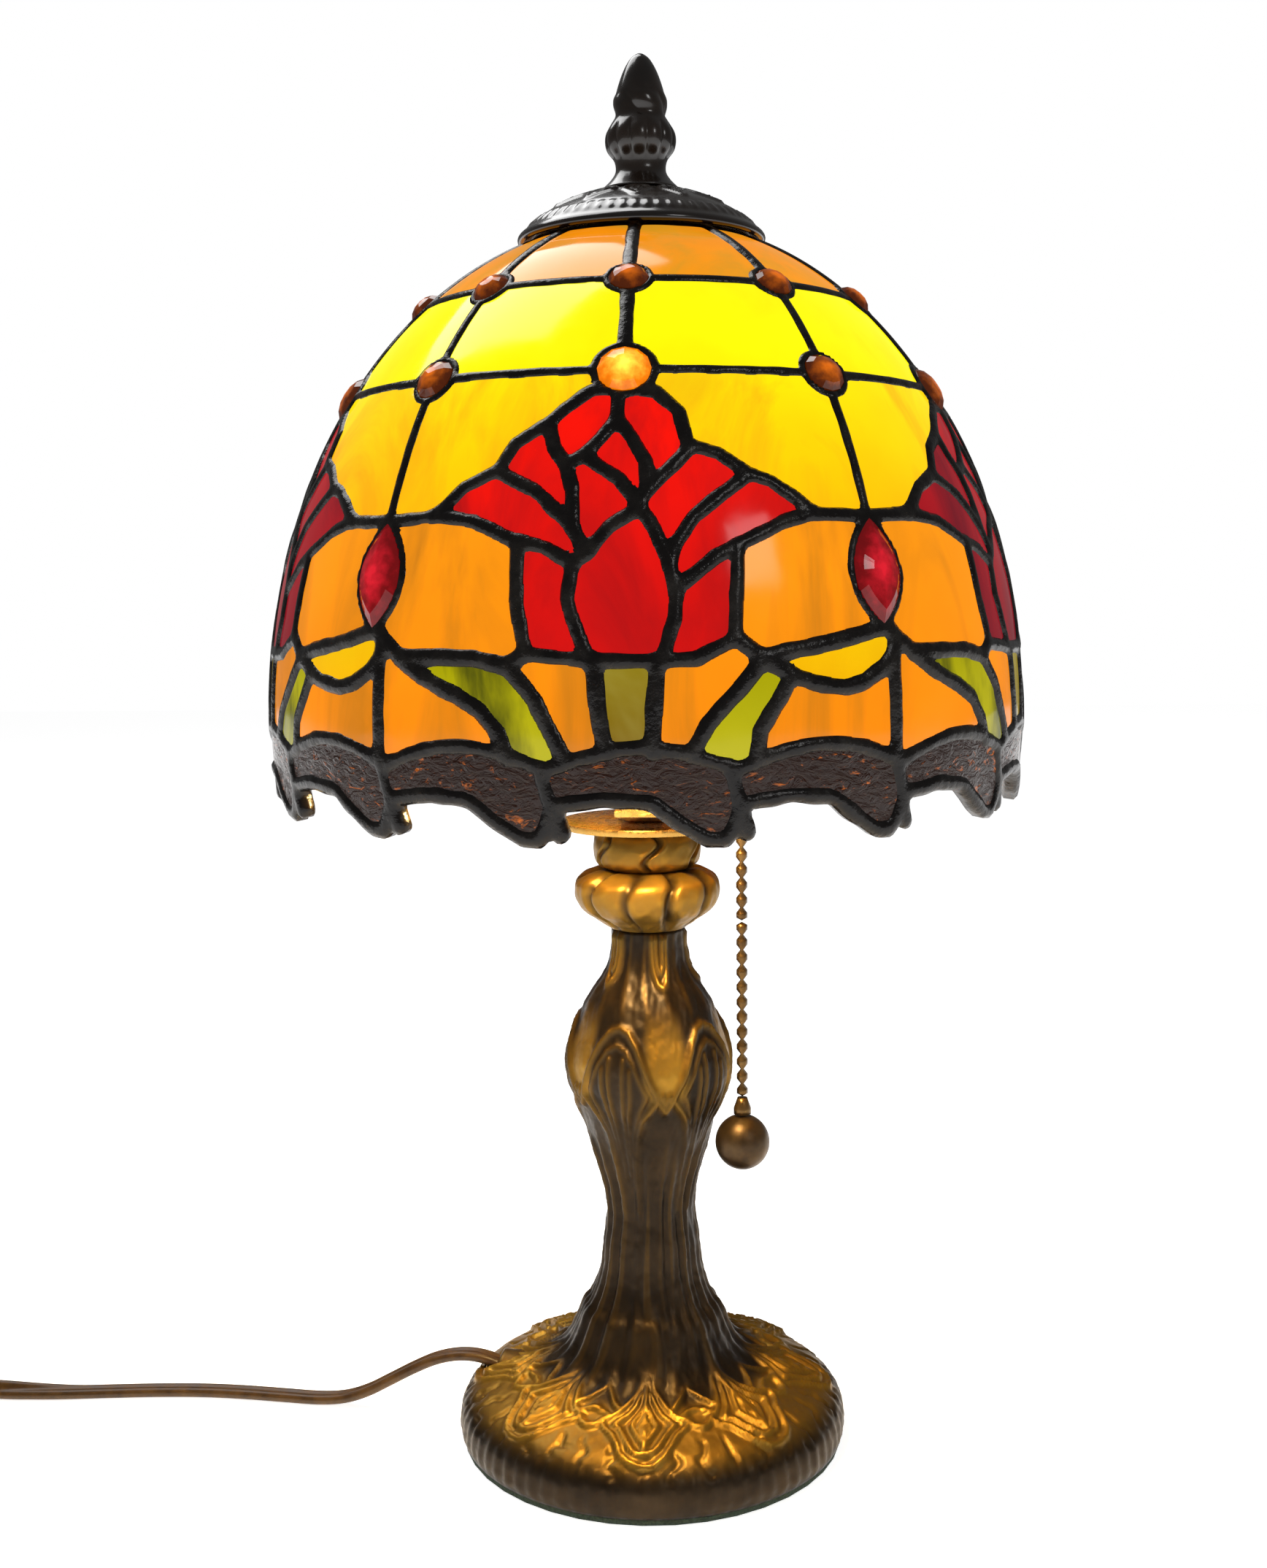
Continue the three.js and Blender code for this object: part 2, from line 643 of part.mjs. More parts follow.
function make_upper_collar() {
  const r = upper_collar_radius;
  const h = upper_collar_height;
  return turned_loop([
    [rod_hole_radius, 0], [r - 3.5, 0], [r - 0.8, 0.18 * h], [r, 0.48 * h], [r - 0.5, 0.76 * h],
    [r - 2.2, 0.92 * h], [r - 2.8, h], [rod_hole_radius, h],
  ], 24);
}

// ---- Harp -----------------------------------------------------------------------------------------
const harp_foot_z = saddle_z + saddle_thickness + gap;

function make_saddle() {
  const half_length = saddle_reach + harp_wire_radius + gap + saddle_thickness;
  const middle = saddle_z + saddle_thickness / 2;
  let saddle = solid(box(saddle_width, 2 * half_length, saddle_thickness, 0, 0, middle));
  for (const side of [-1, 1]) {
    const height = ear_height + saddle_thickness;
    const y = side * (half_length - saddle_thickness / 2);
    saddle = saddle.add(solid(box(ear_width, saddle_thickness, height, 0, y, saddle_z + height / 2)));
  }
  return geometry_of(saddle.subtract(solid(rod_solid(rod_hole_radius, saddle_z - 1, saddle_z + 3, 20))));
}

function make_harp() {
  const arch_z = harp_top_z - harp_boss_height + harp_wire_radius;
  const rise = arch_z - harp_foot_z;
  const leg = [
    [saddle_reach, 0], [saddle_reach, 5], [saddle_reach, 12], [saddle_reach + 2.5, 20],
    [harp_bow - 2, 0.31 * rise], [harp_bow, 0.48 * rise], [harp_bow - 2.5, 0.68 * rise],
    [harp_bow * 0.72, 0.87 * rise], [harp_bow * 0.36, 0.975 * rise],
  ];
  const points = [
    ...leg.map(([y, z]) => [0, -y, harp_foot_z + z]),
    [0, 0, arch_z],
    ...leg.toReversed().map(([y, z]) => [0, y, harp_foot_z + z]),
  ];
  const stud_top = finial_z + insert_height;
  return geometry_of(solid(tube(points, harp_wire_radius, harp_wire_radius, 8, 32))
    .add(solid(rod_solid(harp_boss_radius, harp_top_z - harp_boss_height, harp_top_z, 16)))
    .add(solid(rod_solid(stud_radius, harp_top_z - 1, stud_top, 12))));
}

// ---- Lamp holder ----------------------------------------------------------------------------------
// These are in the switch's own frame, whose +X points along the chain's arm.
const chain_z = socket_z + chain_guide_z;
const chain_hole_radius = chain_guide_radius + gap;
const chain_hole = () => solid(rod_solid(chain_hole_radius, 5, chain_reach, 14).rotateY(Math.PI / 2)
  .translate(0, 0, chain_z));

function make_socket_cap() {
  const lip = socket_radius + gap;
  const outer = lip + sheet_wall;
  const h = socket_cap_height;
  return turned_loop([
    [rod_hole_radius, 0], [8, 0], [8, 3.6], [14, 6.1], [outer - 0.6, 10.6], [outer, 15.5], [outer, h],
    [lip, h], [lip, 15.5], [lip - 0.7, 11.4], [13.4, 7.2], [rod_hole_radius, 5],
  ], 24);
}

function make_socket_shell() {
  const top = shell_bottom_z + socket_length;
  const inner = socket_inner_radius;
  const shell = solid(turned_loop([
    [inner, shell_bottom_z], [socket_radius, shell_bottom_z], [socket_radius, top - 2],
    [socket_radius + 0.6, top - 1], [socket_radius, top], [inner, top],
  ], 32));
  return geometry_of(shell.subtract(chain_hole()));
}

function make_liner() {
  const bottom = shell_bottom_z + socket_length - liner_length - 1;
  const sleeve = solid(ring(liner_radius - sheet_wall, liner_radius, bottom, bottom + liner_length, 32));
  return geometry_of(sleeve.subtract(chain_hole()));
}

const notch_low = chain_z - notch_height / 2;

function make_block() {
  const block = solid(rod_solid(block_radius, block_z, block_z + block_height, 28));
  const notch_reach = block_radius + 2;
  const notch_start = 3.5;
  const length = notch_reach - notch_start;
  const notch = box(length, 16, notch_height, notch_start + length / 2, 4, chain_z);
  return geometry_of(block.subtract(solid(notch)));
}

function make_screw_shell() {
  const outer = screw_shell_radius;
  const inner = outer - screw_shell_wall;
  const floor = 0.8;
  return turned_loop([
    [5, 0], [outer, 0], [outer, screw_shell_length], [inner, screw_shell_length],
    [inner, floor], [5, floor],
  ], 28);
}

function make_contact() {
  return turned([[0, 0], [2, 0], [2, 1.1], [3.5, 1.1], [3, 2.2], [0, 2.2]], 16);
}

function make_chain_guide() {
  const start = socket_inner_radius - 0.2;
  const mouth = chain_reach - bead_radius - gap;
  const r = chain_guide_radius;
  const bore = bead_radius + 0.6;
  return turned_loop([
    [bore, start], [r, start], [r, socket_radius + gap], [r + 1.3, socket_radius + gap],
    [r + 1.3, socket_radius + 1.3], [r, socket_radius + 1.3], [r, mouth - 3], [chain_mouth_radius, mouth],
    [chain_mouth_radius - 0.9, mouth], [bore, mouth - 3.6],
  ], 16).rotateY(Math.PI / 2);
}

// A turning lever: a hub that stands in the block's notch and an arm to the chain's inner end.
function make_lever() {
  const hub_radius = 2.4;
  const half = notch_height / 2 - gap;
  const hub = solid(rod_solid(hub_radius, -half, half, 14));
  const arm = solid(box(2 * lever_tip_radius, lever_length, lever_thickness, 0, -lever_length / 2, 0)
    .rotateZ(-lever_lean));
  const tip = rod_solid(lever_tip_radius, -lever_thickness / 2, lever_thickness / 2, 12)
    .translate(-lever_length * Math.sin(lever_lean), -lever_length * Math.cos(lever_lean), 0);
  return geometry_of(hub.add(arm).add(solid(tip)));
}

// A string of beads hanging down from height 0, with a thin link between neighbours.
function bead_string(count) {
  const profile = [];
  for (let k = 0; k < count; k += 1) {
    const centre = -bead_radius - k * bead_pitch;
    const shoulder = bead_radius * 0.45;
    profile.push([bead_radius, centre + shoulder], [bead_radius, centre - shoulder]);
    if (k < count - 1) profile.push([link_radius, centre - bead_pitch / 2]);
  }
  const bottom = -2 * bead_radius - (count - 1) * bead_pitch;
  return turned([[0, 0], ...profile, [0, bottom]], 6);
}

const string_length = (count) => 2 * bead_radius + (count - 1) * bead_pitch;

function make_coupling() {
  const h = coupling_height;
  const r = coupling_radius;
  return turned([[0, 0], [r, 0], [r, 0.35 * h], [r * 0.75, 0.7 * h], [bead_radius * 0.9, h], [0, h]], 14);
}

// ---- Bulb -----------------------------------------------------------------------------------------
function make_bulb_base() {
  const r = bulb_screw_radius;
  const h = bulb_screw_length;
  return turned([[0, 0], [3, 0], [5, 1.6], [r - 2, 3.4], [r, 5], [r, h], [0, h]], 24);
}

function make_bulb_glass() {
  const h = bulb_glass_length;
  const outline = (wall) => smooth([
    [bulb_neck_radius - wall, 0], [bulb_neck_radius + 0.6 - wall, 0.11 * h],
    [0.7 * bulb_radius - wall, 0.26 * h], [0.92 * bulb_radius - wall, 0.44 * h],
    [bulb_radius - wall, 0.64 * h], [0.93 * bulb_radius - wall, 0.8 * h],
    [0.7 * bulb_radius - wall, 0.93 * h - wall / 2],
    [0.37 * bulb_radius - wall / 2, 0.985 * h - wall], [0, h - wall],
  ], 10);
  return turned_loop([...outline(0), ...outline(bulb_wall).reverse()], 18);
}

// ---- Cord and plug --------------------------------------------------------------------------------
function make_tie() {
  const across = coil_band + 2 * tie_slack + 2 * tie_thickness;
  const height = coil_height + gap + tie_thickness;
  const outside = solid(box(tie_width, across, height, 0, 0, height / 2));
  const inside = box(tie_width + 2, across - 2 * tie_thickness, 2 * (height - tie_thickness), 0, 0, 0);
  return geometry_of(outside.subtract(solid(inside)));
}

function make_plug() {
  const [width, length, height] = plug_size;
  const nose = new THREE.CylinderGeometry(height * 0.42, height * 0.3, plug_nose_length + 1, 12);
  return geometry_of(solid(box(width, length, height, 0, -length / 2, 0))
    .add(solid(nose.rotateX(Math.PI).translate(0, (plug_nose_length - 1) / 2, 0))));
}

// ---- Assembly -------------------------------------------------------------------------------------
function new_mesh(name, geometry, material, x = 0, y = 0, z = 0) {
  const mesh = new THREE.Mesh(geometry, material);
  mesh.name = name;
  mesh.position.set(x, y, z);
  return mesh;
}

function grouped(meshes, x = 0, y = 0, z = 0, turn = 0) {
  const group = new THREE.Group();
  group.position.set(x, y, z);
  group.rotation.z = turn;
  group.add(...meshes);
  return group;
}

function make_base_group() {
  const disc = (radius, height, sides = 40) => (
    turned([[0, 0], [radius, 0], [radius, height], [0, height]], sides));
  return grouped([
    new_mesh('felt_pad', disc(foot_radius - 1, pad_thickness), felt),
    new_mesh('base_cover', disc(cavity_radius - gap, cover_thickness, casting_sides), steel, 0, 0, casting_z),
    new_mesh('base_casting', make_casting(), bronze),
    new_mesh('threaded_rod', ring(
      rod_bore_radius, rod_radius, cavity_ceiling_z - rod_below_boss, socket_z + rod_into_socket, 20,
    ), zinc),
    new_mesh('bottom_nut', make_nut(), zinc, 0, 0, cavity_ceiling_z - gap - nut_height),
    new_mesh('petal_collar', make_petal_collar(), bronze, 0, 0, petal_collar_z),
    new_mesh('upper_collar', make_upper_collar(), bronze, 0, 0, upper_collar_z),
    new_mesh('socket_plate', make_plate(), brass, 0, 0, plate_z),
    new_mesh('top_nut', make_nut(), zinc, 0, 0, top_nut_z),
    new_mesh('harp_saddle', make_saddle(), brass),
    new_mesh('harp', make_harp(), brass),
  ]);
}

function make_socket_group() {
  return grouped([
    new_mesh('socket_cap', make_socket_cap(), brass, 0, 0, socket_z),
    new_mesh('socket_shell', make_socket_shell(), brass),
    new_mesh('socket_liner', make_liner(), card),
    new_mesh('switch_block', make_block(), phenolic),
    new_mesh('screw_shell', make_screw_shell(), brass, 0, 0, screw_shell_z),
    new_mesh('center_contact', make_contact(), brass, 0, 0, screw_shell_z),
    new_mesh('chain_guide', make_chain_guide(), brass, 0, 0, chain_z),
    new_mesh('switch_lever', make_lever(), steel, lever_pivot, lever_length, chain_z),
    make_inner_chain(),
    new_mesh('bulb_base', make_bulb_base(), brass, 0, 0, bulb_z),
    new_mesh('bulb_glass', make_bulb_glass(), bulb_coating, 0, 0, bulb_glass_z),
    make_hanging_chain(),
  ], 0, 0, 0, (chain_azimuth - 90) * degree);
}

// The stretch that runs from the lever out through the guide.
function make_inner_chain() {
  const start = lever_pivot - lever_length * Math.sin(lever_lean) + lever_tip_radius + gap;
  const mesh = new_mesh('inner_chain', bead_string(3), brass, start, 0, chain_z);
  mesh.rotation.y = -Math.PI / 2;
  return mesh;
}

function make_hanging_chain() {
  const top = -chain_mouth_radius + 2 * bead_radius;
  const upper = top - string_length(top_link_beads) - gap;
  const lower = upper - string_length(upper_chain_beads) - gap;
  const coupling = lower - string_length(lower_chain_beads) - gap;
  const ball = coupling - coupling_height - gap - ball_radius;
  const sphere = new THREE.SphereGeometry(ball_radius, 16, 10).rotateX(Math.PI / 2);
  return grouped([
    new_mesh('chain_top_link', bead_string(top_link_beads), brass, 0, 0, top),
    new_mesh('pull_chain_upper', bead_string(upper_chain_beads), brass, 0, 0, upper),
    new_mesh('pull_chain_lower', bead_string(lower_chain_beads), brass, 0, 0, lower),
    new_mesh('chain_coupling', make_coupling(), brass, 0, 0, coupling - coupling_height),
    new_mesh('pull_ball', closed(sphere), bronze, 0, 0, ball),
  ], chain_reach, 0, chain_z);
}

function make_shade_group() {
  const insert = ring(stud_hole_radius, insert_radius, 0, insert_height, 16);
  return grouped([
    ...make_shade_glass(),
    new_mesh('shade_spider', make_spider(), brass),
    new_mesh('vented_cap', make_cap(), dark_enamel),
    new_mesh('finial', make_finial(), dark_enamel, 0, 0, finial_z),
    new_mesh('finial_insert', insert, brass, 0, 0, finial_z + gap),
  ]);
}

function make_cord_group() {
  const [x, y] = coil_centre;
  const inner = coil_mean_radius - coil_band / 2;
  const outer = coil_mean_radius + coil_band / 2;
  const corner = 1.4;
  const coil = turned_loop([
    [inner + corner, 0], [outer - corner, 0], [outer, corner], [outer, coil_height - corner],
    [outer - corner, coil_height], [inner + corner, coil_height],
    [inner, coil_height - corner], [inner, corner],
  ], 28);
  const [, plug_length, plug_height] = plug_size;
  // The plug lies square to the coil, under its outermost turn, and just clears it.
  const plug_offset = outer - outermost_turn;
  const plug_x = x - plug_offset;
  const plug_y = y - gap - Math.sqrt(outer ** 2 - (plug_offset - plug_size[0] / 2) ** 2);
  const plug_z = plug_height / 2;
  const [blade_thickness, blade_length, blade_height] = blade_size;
  const blade = (name, side) => new_mesh(
    name, closed(box(blade_thickness, blade_length, blade_height, 0, 0, 0)), brass,
    plug_x + (side * blade_spacing) / 2, plug_y - plug_length - gap - blade_length / 2, plug_z);
  return grouped([
    new_mesh('power_cord', tube(cord_route, cord_width / 2, cord_thickness / 2, 8, 32), cord_plastic),
    new_mesh('cord_coil', coil, cord_plastic, x, y, 0),
    new_mesh('cord_tie', make_tie(), phenolic, x, y - coil_mean_radius, 0),
    new_mesh('plug_body', make_plug(), cord_plastic, plug_x, plug_y, plug_z),
    blade('plug_blade_left', -1),
    blade('plug_blade_right', 1),
  ]);
}

const lamp = new THREE.Group();
lamp.add(make_base_group(), make_socket_group(), make_shade_group(), make_cord_group());

export default lamp;
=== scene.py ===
import json
import math

import bpy
import numpy as np
from mathutils import Matrix, Vector

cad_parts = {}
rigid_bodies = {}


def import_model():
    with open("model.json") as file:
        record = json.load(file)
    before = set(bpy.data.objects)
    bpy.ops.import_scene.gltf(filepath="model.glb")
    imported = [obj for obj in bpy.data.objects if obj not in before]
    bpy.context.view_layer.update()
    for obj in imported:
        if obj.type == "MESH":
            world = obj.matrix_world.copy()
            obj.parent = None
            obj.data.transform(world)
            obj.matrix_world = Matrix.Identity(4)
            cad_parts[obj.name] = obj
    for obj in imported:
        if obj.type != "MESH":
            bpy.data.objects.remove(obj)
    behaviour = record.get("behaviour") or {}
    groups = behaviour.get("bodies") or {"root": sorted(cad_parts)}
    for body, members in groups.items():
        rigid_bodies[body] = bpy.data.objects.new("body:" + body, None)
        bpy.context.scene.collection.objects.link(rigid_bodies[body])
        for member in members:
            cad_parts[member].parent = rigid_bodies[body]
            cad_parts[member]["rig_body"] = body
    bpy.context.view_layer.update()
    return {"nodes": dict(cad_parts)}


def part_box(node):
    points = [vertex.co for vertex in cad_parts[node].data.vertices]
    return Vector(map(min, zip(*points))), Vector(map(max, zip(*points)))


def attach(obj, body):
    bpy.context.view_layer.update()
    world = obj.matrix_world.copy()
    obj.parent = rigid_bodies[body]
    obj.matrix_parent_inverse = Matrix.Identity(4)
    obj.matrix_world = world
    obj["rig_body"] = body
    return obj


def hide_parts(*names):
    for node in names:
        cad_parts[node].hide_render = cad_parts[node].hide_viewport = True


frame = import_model()
nodes = frame["nodes"]
MM = 0.001

# ---- Camera
camera_azimuth = 3.07
camera_distance = 477.0
camera_height = 240.2
camera_pitch, camera_yaw, camera_roll = 6.45, 0.43, -0.58  # degrees down, to the left, and of roll
camera_lens = 39.92


def place_camera():
    data = bpy.data.cameras.new("camera")
    data.lens = camera_lens
    data.sensor_width = 36
    camera = bpy.data.objects.new("camera", data)
    camera.matrix_world = (
        Matrix.Rotation(math.radians(camera_azimuth), 4, "Z")
        @ Matrix.Translation((0, -camera_distance * MM, camera_height * MM))
        @ Matrix.Rotation(math.radians(camera_yaw), 4, "Z")
        @ Matrix.Rotation(math.radians(90 - camera_pitch), 4, "X")
        @ Matrix.Rotation(math.radians(camera_roll), 4, "Z")
    )
    bpy.context.scene.collection.objects.link(camera)
    bpy.context.scene.camera = camera


place_camera()


# ---- Small tools
def new_object(name, verts_mm, faces, smooth=True):
    mesh = bpy.data.meshes.new(name)
    mesh.from_pydata((np.asarray(verts_mm, float) * MM).tolist(), [], [tuple(f) for f in faces])
    mesh.update()
    if smooth:
        mesh.shade_smooth()
    obj = bpy.data.objects.new(name, mesh)
    bpy.context.scene.collection.objects.link(obj)
    return obj


def store(obj, name, values):
    layer = obj.data.attributes.new(name, "FLOAT", "POINT")
    layer.data.foreach_set("value", np.asarray(values, np.float32))


def settle(obj, body, replaced, material):
    obj.data.materials.clear()
    for m in material if isinstance(material, list) else [material]:
        obj.data.materials.append(m)
    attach(obj, body)
    if replaced:
        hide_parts(*replaced)
    return obj


def smoothstep(low, high, value):
    t = np.clip((np.asarray(value, float) - low) / (high - low), 0, 1)
    return t * t * (3 - 2 * t)


def between(low, high, value, soft):
    return smoothstep(low - soft, low + soft, value) * (1 - smoothstep(high - soft, high + soft, value))


def spline(points, step):
    """Points of a smooth curve through the given ones, about step apart."""
    points = np.asarray(points, float)
    p = np.vstack([2 * points[0] - points[1], points, 2 * points[-1] - points[-2]])
    made = []
    for a, b, c, d in zip(p, p[1:], p[2:], p[3:]):
        count = max(1, int(round(np.linalg.norm(c - b) / step)))
        t = (np.arange(count) / count)[:, None]
        made.append(0.5 * (2 * b + (c - a) * t + (2 * a - 5 * b + 4 * c - d) * t**2
                           + (3 * b - a - 3 * c + d) * t**3))
    return np.vstack(made + [points[-1:]])


class Waves:
    """A smooth random field in space: the mean of many sine waves near one wavelength."""

    def __init__(self, seed, wavelength, count=28):
        rng = np.random.default_rng(seed)
        direction = rng.normal(size=(count, 3))
        direction /= np.linalg.norm(direction, axis=1)[:, None]
        self.turns = direction * (2 * np.pi / (wavelength * rng.uniform(0.7, 1.6, count)))[:, None]
        self.phase = rng.uniform(0, 2 * np.pi, count)

    def __call__(self, place):
        place = np.asarray(place, float)
        total = np.zeros(place.shape[:-1])
        for turn, phase in zip(self.turns, self.phase):
            total += np.sin(place @ turn + phase)
        return total / math.sqrt(len(self.phase) / 2)


def distance_to(lines, x, y, x_scale, y_scale):
    """The least distance from each place to lines of points, with local scales in mm per unit."""
    best = np.full(np.shape(x), 1e9)
    for line in lines:
        for (ax, ay), (bx, by) in zip(line, line[1:]):
            px, py = (x - ax) * x_scale, (y - ay) * y_scale
            dx, dy = (bx - ax) * x_scale, (by - ay) * y_scale
            along = np.clip((px * dx + py * dy) / (dx * dx + dy * dy + 1e-12), 0, 1)
            best = np.minimum(best, np.hypot(px - along * dx, py - along * dy))
    return best


def grid_faces(rows, columns, closed_columns=True, closed_rows=False):
    """Quads between neighbouring rows and columns of points that are numbered row by row."""
    row, column = np.meshgrid(np.arange(rows if closed_rows else rows - 1),
                              np.arange(columns if closed_columns else columns - 1), indexing="ij")
    above, beside = (row + 1) % rows, (column + 1) % columns
    quads = np.stack([row * columns + column, row * columns + beside,
                      above * columns + beside, above * columns + column], -1)
    return quads.reshape(-1, 4)


def placed(radius, azimuth, height):
    a = np.radians(azimuth)
    return np.stack(np.broadcast_arrays(radius * np.sin(a), -radius * np.cos(a), height), -1)


# ---- Materials
class Look:
    """A material whose Principled shader is fed from procedural nodes in object space."""

    def __init__(self, name, **values):
        self.material = bpy.data.materials.new(name)
        self.material.use_nodes = True
        self.tree = self.material.node_tree
        self.shader = self.tree.nodes["Principled BSDF"]
        self.place = self.node("ShaderNodeTexCoord").outputs["Object"]
        for socket, value in values.items():
            self.set(socket.replace("_", " ").title().replace("Ior", "IOR"), value)

    def node(self, kind, **settings):
        made = self.tree.nodes.new(kind)
        for key, value in settings.items():
            setattr(made, key, value)
        return made

    def set(self, socket, value):
        self.feed(self.shader.inputs[socket], value)

    def feed(self, target, value):
        if isinstance(value, bpy.types.NodeSocket):
            self.tree.links.new(value, target)
        elif isinstance(value, tuple):
            target.default_value = (*value, 1.0) if len(target.default_value) == 4 else value
        else:
            target.default_value = value

    def stretched(self, scale, turn=(0, 0, 0)):
        mapping = self.node("ShaderNodeMapping")
        mapping.inputs["Scale"].default_value = scale
        mapping.inputs["Rotation"].default_value = turn
        self.feed(mapping.inputs["Vector"], self.place)
        return mapping.outputs[0]

    def noise(self, per_metre, detail=4, roughness=0.5, distortion=0.0, place=None):
        noise = self.node("ShaderNodeTexNoise")
        for key, value in (("Scale", per_metre), ("Detail", detail), ("Roughness", roughness),
                           ("Distortion", distortion)):
            noise.inputs[key].default_value = value
        self.feed(noise.inputs["Vector"], place or self.place)
        return noise.outputs[0]

    def spread(self, value, low, high, to_low=0.0, to_high=1.0):
        spread = self.node("ShaderNodeMapRange")
        for key, number in (("From Min", low), ("From Max", high), ("To Min", to_low), ("To Max", to_high)):
            spread.inputs[key].default_value = number
        self.feed(spread.inputs["Value"], value)
        return spread.outputs[0]

    def height(self, low, high, to_low=0.0, to_high=1.0):
        parts = self.node("ShaderNodeSeparateXYZ")
        self.feed(parts.inputs[0], self.place)
        return self.spread(parts.outputs["Z"], low * MM, high * MM, to_low, to_high)

    def attribute(self, name):
        return self.node("ShaderNodeAttribute", attribute_name=name).outputs["Fac"]

    def maths(self, operation, a, b):
        maths = self.node("ShaderNodeMath", operation=operation)
        self.feed(maths.inputs[0], a)
        self.feed(maths.inputs[1], b)
        return maths.outputs[0]

    def mix(self, share, a, b):
        mix = self.node("ShaderNodeMix", data_type="RGBA")
        self.feed(mix.inputs["Factor"], share)
        self.feed(mix.inputs[6], a)
        self.feed(mix.inputs[7], b)
        return mix.outputs[2]

    def bump(self, value, depth_mm, strength=1.0):
        bump = self.node("ShaderNodeBump")
        bump.inputs["Strength"].default_value = strength
        bump.inputs["Distance"].default_value = depth_mm * MM
        self.feed(bump.inputs["Height"], value)
        self.set("Normal", bump.outputs[0])


def lit_glass(name, bright, dim, streak, low, high, strength, streaks, seed):
    """Opalescent glass whose emission is a painted glow standing in for the bulb's light from behind: painted
    dim at the height low and bright at high, with cloudy streaks.
    """
    look = Look(name, specular_ior_level=0.25)
    swirl = look.noise(9, 5, 0.55, 1.4, look.stretched((3.2, 3.2, 0.9), (0.2 + seed, 0.35, seed)))
    cloud = look.noise(38, 3, 0.6)
    shade = look.mix(look.height(low, high), dim, bright)
    share = look.maths("MULTIPLY", look.spread(swirl, 0.44, 0.66), streaks)
    colour = look.mix(share, shade, streak)
    # painted glow: the emission colour and strength stand in for the bulb's light shining through the glass
    look.set("Emission Color", colour)
    look.set("Emission Strength", look.spread(cloud, 0.3, 0.7, 0.94 * strength, 1.05 * strength))
    look.set("Base Color", look.mix(0.8, colour, (0.01, 0.004, 0.0)))
    look.set("Roughness", look.spread(cloud, 0.3, 0.7, 0.05, 0.16))
    look.bump(look.noise(60, 2), 0.25, 0.5)
    return look.material


glasses = (  # look, name, colours of the painted glow at the greater height, at the lesser and of the streaks, the two heights, the strength of the painted glow, the share of streaks, and how the streaks are turned
             # the strength of the light, the share of streaks, and how the streaks are turned
    ("row_1", "crown_glass", (0.9, 0.27, 0.004), (0.95, 0.33, 0.005), (0.5, 0.3, 0.02),
     310, 330, 0.95, 0.6, 0.3),
    ("row_2", "lemon_glass", (1.0, 0.93, 0.0), (1.0, 0.86, 0.0), (0.95, 0.75, 0.0),
     288, 300, 1.0, 0.4, 0.0),
    ("row_3", "yellow_glass", (1.0, 0.78, 0.0), (1.0, 0.47, 0.0), (0.85, 0.28, 0.004),
     250, 288, 1.0, 0.55, 0.7),
    ("orange", "orange_glass", (0.98, 0.31, 0.004), (0.93, 0.25, 0.003), (0.5, 0.17, 0.008),
     204, 255, 0.97, 0.75, 1.1),
    ("wine", "wine_glass", (0.5, 0.006, 0.012), (0.22, 0.002, 0.012), (0.12, 0.002, 0.012),
     226, 284, 0.9, 0.8, 2.0),
    ("red", "red_glass", (0.95, 0.004, 0.001), (0.62, 0.003, 0.004), (0.32, 0.003, 0.006),
     232, 276, 0.95, 0.8, 1.6),
    ("crescent", "amber_glass", (1.0, 0.6, 0.0), (1.0, 0.5, 0.0), (0.9, 0.4, 0.0),
     216, 230, 0.85, 0.4, 2.2),
    ("leaf", "leaf_glass", (0.45, 0.42, 0.0), (0.6, 0.55, 0.01), (0.05, 0.06, 0.003),
     203, 224, 0.75, 1.0, 2.9),
    ("stem", "stem_glass", (0.3, 0.22, 0.004), (0.22, 0.12, 0.003), (0.55, 0.5, 0.12),
     203, 225, 0.75, 0.7, 3.3),
)


